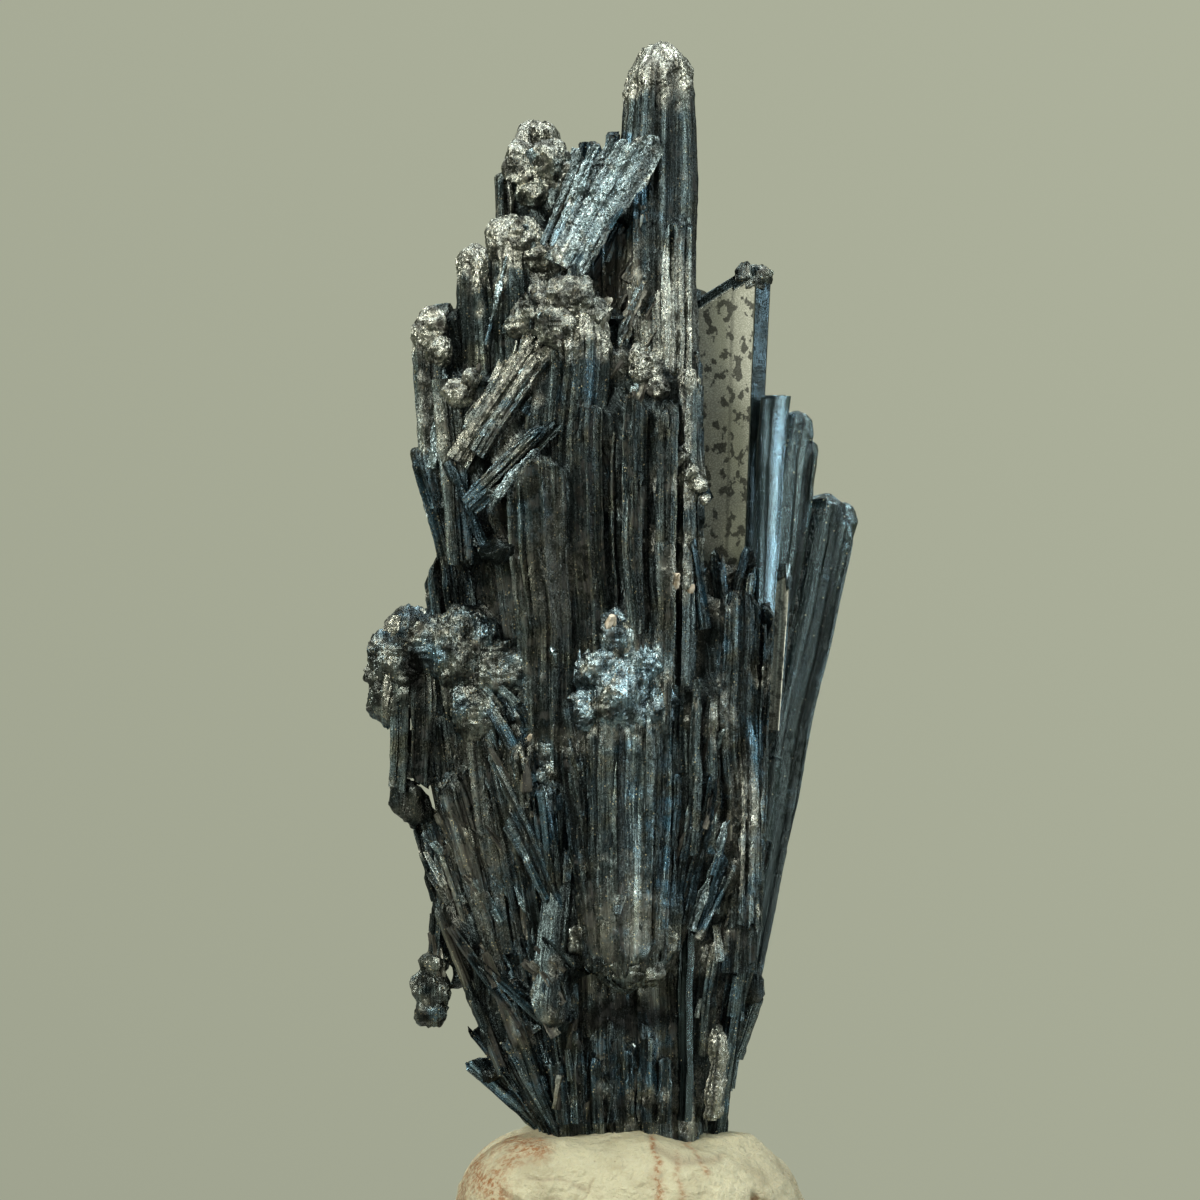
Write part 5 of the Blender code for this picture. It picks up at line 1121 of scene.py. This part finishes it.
def fillGaps(rough, spec):
    host = addObject("filler", rough.copy())

    def voxels():
        made = host.modifiers.new("voxels", "REMESH")
        made.mode, made.voxel_size = "VOXEL", spec["voxel"] * mm

    def swell(amount):
        made = host.modifiers.new("swell", "DISPLACE")
        made.mid_level, made.strength = 0, amount * mm

    voxels()
    outer = finishedMesh(host)
    swell(spec["close"])
    voxels()
    swell(-spec["close"] - spec["sink"])
    voxels()
    mesh = finishedMesh(host)
    bpy.data.objects.remove(host)
    count = len(mesh.vertices)
    points, normals = np.empty(count * 3), np.empty(count * 3)
    mesh.vertices.foreach_get("co", points)
    mesh.vertex_normals.foreach_get("vector", normals)
    points, normals = points.reshape(-1, 3) / mm, normals.reshape(-1, 3)
    fromRoot = points - spec["root"]
    reach = np.linalg.norm(fromRoot, axis=1)
    fan = np.stack([np.arctan2(fromRoot[:, axis], fromRoot[:, 2]) * 110 for axis in (0, 1)] + [reach / 14], 1)
    furrows = solidNoise(fan, 0.8, 41) + 0.5 * solidNoise(fan, 0.4, 42)
    lumps = solidNoise(points, 1.4, 43) + 0.5 * solidNoise(points, 0.6, 44)
    crust = smoothStep(0.1, 0.6, solidNoise(points, 3.0, 7) + 0.4 * solidNoise(points, 0.9, 8)) * 0.6
    points += normals * (spec["furrow"] * furrows + spec["lump"] * lumps * (0.3 + crust))[:, None]
    blade = spec["blade"]
    inWay = (smoothStep(*blade["left"], points[:, 0]) * smoothStep(*blade["right"], points[:, 0])
             * smoothStep(*blade["foot"], points[:, 2]))
    points[:, 1] += blade["move"] * inWay * (points[:, 1] < blade["front"])
    mesh.vertices.foreach_set("co", (points * mm).reshape(-1))
    # hollow paints the furrows dark and shade darkens all of the filler: painted shade.
    values = {"crust": crust, "blue": np.full(count, spec["blue"]), "dust": np.full(count, spec["dust"]),
              "hollow": smoothStep(0.2, -0.6, furrows), "shade": np.full(count, spec["shade"]),
              "polish": np.zeros(count), "tone": 0.5 + 0.5 * solidNoise(fan, 1.3, 45)}
    for key, value in values.items():
        storeNumbers(mesh, key, value)
    corners = np.empty(len(mesh.loops), np.int32)
    mesh.loops.foreach_get("vertex_index", corners)
    storeMap(mesh, np.stack((fan[:, 0] + fan[:, 1], reach), 1)[corners])
    mesh.shade_smooth()
    mesh.set_sharp_from_angle(angle=math.radians(spec["sharpAngle"]))
    mesh.materials.clear()
    return outer, mesh


# How far apart the points of the skin are, in millimetres: on the crystals, on the guide that the filler and
# the needles follow, and on the loose prisms and grains.
grain, guideGrain, looseGrain = 0.2, 1.3, 0.2
boulderShare = 0.8
stibnite = stibniteMaterial("stibnite", stibniteFinish, stibniteTexture)
paleMineral = paleMaterial("paleMineral", paleFinish)
puttySkin = puttyMaterial("mountingPutty", puttyFinish)
steps = {f"stepPrism{index + 1}": ((x * stepPrisms["footShare"], stepPrisms["footY"], stepPrisms["footHeight"]),
                                   (x, stepPrisms["tipY"], tipZ),
                                   (stepPrisms["width"], stepPrisms["thickness"]),
                                   stepPrisms["turn"] * (-1) ** index, 1.0, "broken", 6)
         for index, (x, tipZ) in enumerate(stepPrisms["tips"])}
groups = (("core", coreCrystals, "core"), ("top", topCrystals, "plain"), ("left", leftCrystals, "plain"),
          ("front", frontCrystals, "plain"), ("right", rightCrystals, "plain"), ("base", baseCrystals, "fan"),
          ("laths", slimLaths, "lath"), ("steps", steps, "fan"), ("back", backCrystals, "back"))
pointsPerPiece = 90000
batches, guideBodies = [], []


def addBody(body):
    # a crystal or lump joins the last piece that still has room for its points
    size = len(body["points"])
    if not batches or batches[-1]["points"] + size > pointsPerPiece:
        batches.append({"bodies": [], "points": 0})
    batches[-1]["bodies"].append(body)
    batches[-1]["points"] += size


for groupName, crystals, usualLook in groups:
    for name, crystal in crystals.items():
        lookName = lookOf.get(name, usualLook)
        addBody(growCrystal(name, crystal, lookName, grain))
        guideBodies.append(growCrystal(name, crystal, lookName, guideGrain))
    print(f"grown {groupName}: {len(crystals)} crystals")
for mass, (crust, blue, lumps) in crustMasses.items():
    for index, (middle, radius) in enumerate(lumps):
        lump = f"{mass}{index}", middle, radius, crust, blue
        addBody(growBoulder(*lump, grain * boulderShare))
        guideBodies.append(growBoulder(*lump, guideGrain))
for index, batch in enumerate(batches):
    mesh = meshFrom(f"crystalBatch{index + 1}", batch["bodies"])
    showPiece(f"crystals{index + 1}", mesh, stibnite, "stibnite_spray")

guideMesh = meshFrom("guide", guideBodies, 0)
axes = [np.tile(body["axis"], (len(body["points"]), 1)) for body in guideBodies]
storeNumbers(guideMesh, "axis", np.concatenate(axes))
storeNumbers(guideMesh, "needles", np.concatenate([body["needles"] for body in guideBodies]))
guide = addObject("guide", guideMesh)
outerSkin, fillerMesh = fillGaps(guideMesh, fillerSpec)
showPiece("crystalGrowth", fillerMesh, stibnite, "stibnite_spray")

# How the scattered prisms differ, in metres.
scattered = {
    "needles": {"Per Square Metre": 1.6e5, "Length": 0.0013, "Width": 0.00042, "Tilt": 0.16, "Seed": 5},
    "shards": {"Per Square Metre": 1.8e4, "Length": 0.0028, "Width": 0.0010, "Tilt": 0.32, "Seed": 9},
}
scatter = makeScatterTree()
for name, spec in scattered.items():
    made = runTree(scatter, outerSkin, {**spec, "Guide": guide, "Surface": stibnite}, name)
    showPiece(name, made, None, "stibnite_spray")


def frontAt(x, z):
    # where the front of the crystals is at a place across and up, or nothing if none stands there
    found, place, _, _ = guide.ray_cast((x * mm, -50 * mm, z * mm), (0, 1, 0))
    return place.y / mm if found else None


# Pale grains of another mineral that sit on the front: place across and up, size and roll.
paleGrains = ((-2.3, 72.7, 1.5, 30), (4.6, 78.4, 1.7, -20), (4.4, 76.6, 1.3, 12), (5.7, 75.8, 1.2, 50),
              (-10.4, 61.3, 0.8, 10), (6.4, 97.2, 0.9, 35))
grainBodies = []
for index, (x, z, size, turn) in enumerate(paleGrains):
    y = frontAt(x, z)
    crystal = ((x, y + 0.6, z - 0.5 * size), (x + 0.35 * size, y - 0.5 * size, z + 0.5 * size),
               (size, size * 0.7), turn, 0.9, "broken", 5)
    grainBodies.append(growCrystal(f"paleGrain{index}", crystal, "lath", looseGrain))
looseBodies, looseLooks = [], ("lath", "fan", "paleLath", "oliveLath", "oliveLath")
looseEnds = ("flat", "broken", "chisel", "slantLeft")
for patch, ((midX, midZ), (halfX, halfZ), count, (wayX, wayZ), stray, lengths, widths) in loosePrisms.items():
    draw = random.Random(patch)
    for index in range(count):
        x, z = midX + draw.uniform(-1, 1) * halfX, midZ + draw.uniform(-1, 1) * halfZ
        y = frontAt(x, z)
        way = Vector((wayX + draw.uniform(-stray, stray), draw.uniform(-0.35, 0.05),
                      wayZ + draw.uniform(-stray, stray) / 2))
        length, width = draw.uniform(*lengths), draw.uniform(*widths)
        if y is None:
            continue
        middle = Vector((x, y + 0.25 * width, z))
        half = way.normalized() * length / 2
        crystal = (middle - half, middle + half, (width, width * draw.uniform(0.5, 0.9)),
                   draw.uniform(-30, 30), 1.0, draw.choice(looseEnds), 5)
        looseBodies.append(growCrystal(f"{patch}{index}", crystal, draw.choice(looseLooks), looseGrain))
showPiece("loosePrisms", meshFrom("loosePrisms", looseBodies), stibnite, "stibnite_spray")
showPiece("paleGrains", meshFrom("paleGrains", grainBodies), paleMineral)
bpy.data.objects.remove(guide)
showPiece("puttyLump", meshFrom("puttyLump", [shapePutty(putty)], 0), puttySkin, "putty_base")

studio = {"lens": 200, "sensor": 36, "frameWidth": 120 * mm, "lookAt": (-3 * mm, 0, 75 * mm),
          "backdrop": (0.385, 0.405, 0.305), "floor": (0.22, 0.22, 0.19), "floorFade": (0.095, 0.14),
          "surround": (0.19, 0.205, 0.15), "overhead": (0.36, 0.40, 0.37), "behindCamera": (0.012, 0.014, 0.012),
          "darkWay": (0.26, -0.955, -0.14), "cardWay": (-0.49, -0.87, 0.03), "card": (0.44, 0.455, 0.345),
          "backdropUp": 0.55, "backdropRight": 0.45, "skyEdge": (0.1, 0.9), "darkEdge": (0.62, 0.93),
          "cardEdge": (0.91, 0.95), "floorSides": 96, "floorDrop": 0.2 * mm, "floorRoughness": 0.8}
lights = {
    # name: place, aim, width and height, watts, colour
    "keySoftbox": ((-0.42, -0.48, 0.46), (0, 0, 0.07), (0.22, 0.30), 7.0, (1.0, 0.98, 0.93)),
    "topSoftbox": ((0.02, 0.06, 0.62), (0, 0, 0.08), (0.30, 0.26), 5.5, (0.93, 0.97, 1.0)),
    "rightStrip": ((0.52, -0.20, 0.22), (0, 0, 0.07), (0.06, 0.36), 2.2, (0.90, 0.96, 1.0)),
    "lowFill": ((0.16, -0.62, 0.02), (0, 0, 0.05), (0.20, 0.12), 0.7, (1.0, 0.97, 0.9)),
}
scene = bpy.context.scene
camera = bpy.data.cameras.new("camera")
camera.lens, camera.sensor_width = studio["lens"], studio["sensor"]
cameraObject = addObject("camera", camera)
distance = studio["frameWidth"] * studio["lens"] / studio["sensor"]
cameraObject.location = Vector(studio["lookAt"]) - Vector((0, distance, 0))
cameraObject.rotation_euler = (math.pi / 2, 0, 0)
scene.camera = cameraObject
for name, (place, aim, size, watts, colour) in lights.items():
    light = bpy.data.lights.new(name, "AREA")
    light.shape, light.size, light.size_y = "RECTANGLE", size[0], size[1]
    light.energy, light.color = watts, colour
    lamp = addObject(name, light)
    lamp.location = place
    lamp.rotation_euler = (Vector(aim) - Vector(place)).to_track_quat("-Z", "Y").to_euler()


def buildWorld(spec):
    world = bpy.data.worlds.new("studio")
    scene.world = world
    world.use_nodes = True
    tree = world.node_tree
    tree.nodes.clear()
    way = addNode(tree, "ShaderNodeTexCoord").outputs["Generated"]
    parts = addNode(tree, "ShaderNodeSeparateXYZ", {0: way})
    seen = addNode(tree, "ShaderNodeLightPath").outputs["Is Camera Ray"]
    shade = maths(tree, "MULTIPLY_ADD", parts.outputs[2], spec["backdropUp"],
                  maths(tree, "MULTIPLY_ADD", parts.outputs[0], spec["backdropRight"], 1.0))
    backdrop = vectorMaths(tree, "SCALE", {0: spec["backdrop"], "Scale": shade})[0]
    above = remap(tree, parts.outputs[2], *spec["skyEdge"])
    around = mixColour(tree, above, (*spec["surround"], 1), (*spec["overhead"], 1))
    for direction, edge, colour in (("darkWay", "darkEdge", "behindCamera"), ("cardWay", "cardEdge", "card")):
        facing = vectorMaths(tree, "DOT_PRODUCT", {0: way, 1: spec[direction]})["Value"]
        around = mixColour(tree, remap(tree, facing, *spec[edge]), around, (*spec[colour], 1))
    picked = mixColour(tree, seen, around, backdrop)
    glow = addNode(tree, "ShaderNodeBackground", {"Color": picked})
    addNode(tree, "ShaderNodeOutputWorld", {"Surface": glow.outputs[0]})


def buildFloor(spec):
    # a pale round floor that fades into the backdrop
    inner, outer = spec["floorFade"]
    count = spec["floorSides"]
    points = [(0, 0, 0)] + [(outer * math.cos(i * math.tau / count), outer * math.sin(i * math.tau / count), 0)
                            for i in range(count)]
    faces = [(0, 1 + i, 1 + (i + 1) % count) for i in range(count)]
    mesh = bpy.data.meshes.new("floor")
    mesh.from_pydata(points, [], faces)
    surface, tree, shader, place = startMaterial("floor")
    away = vectorMaths(tree, "LENGTH", {0: place})["Value"]
    tree.links.new(remap(tree, away, inner, outer, 1.0, 0.0), shader.inputs["Alpha"])
    shader.inputs["Base Color"].default_value = (*spec["floor"], 1)
    shader.inputs["Roughness"].default_value = spec["floorRoughness"]
    mesh.materials.append(surface)
    floor = addObject("floor", mesh)
    floor.location.z = -spec["floorDrop"]


buildWorld(studio)
buildFloor(studio)
scene.view_settings.view_transform = "Standard"
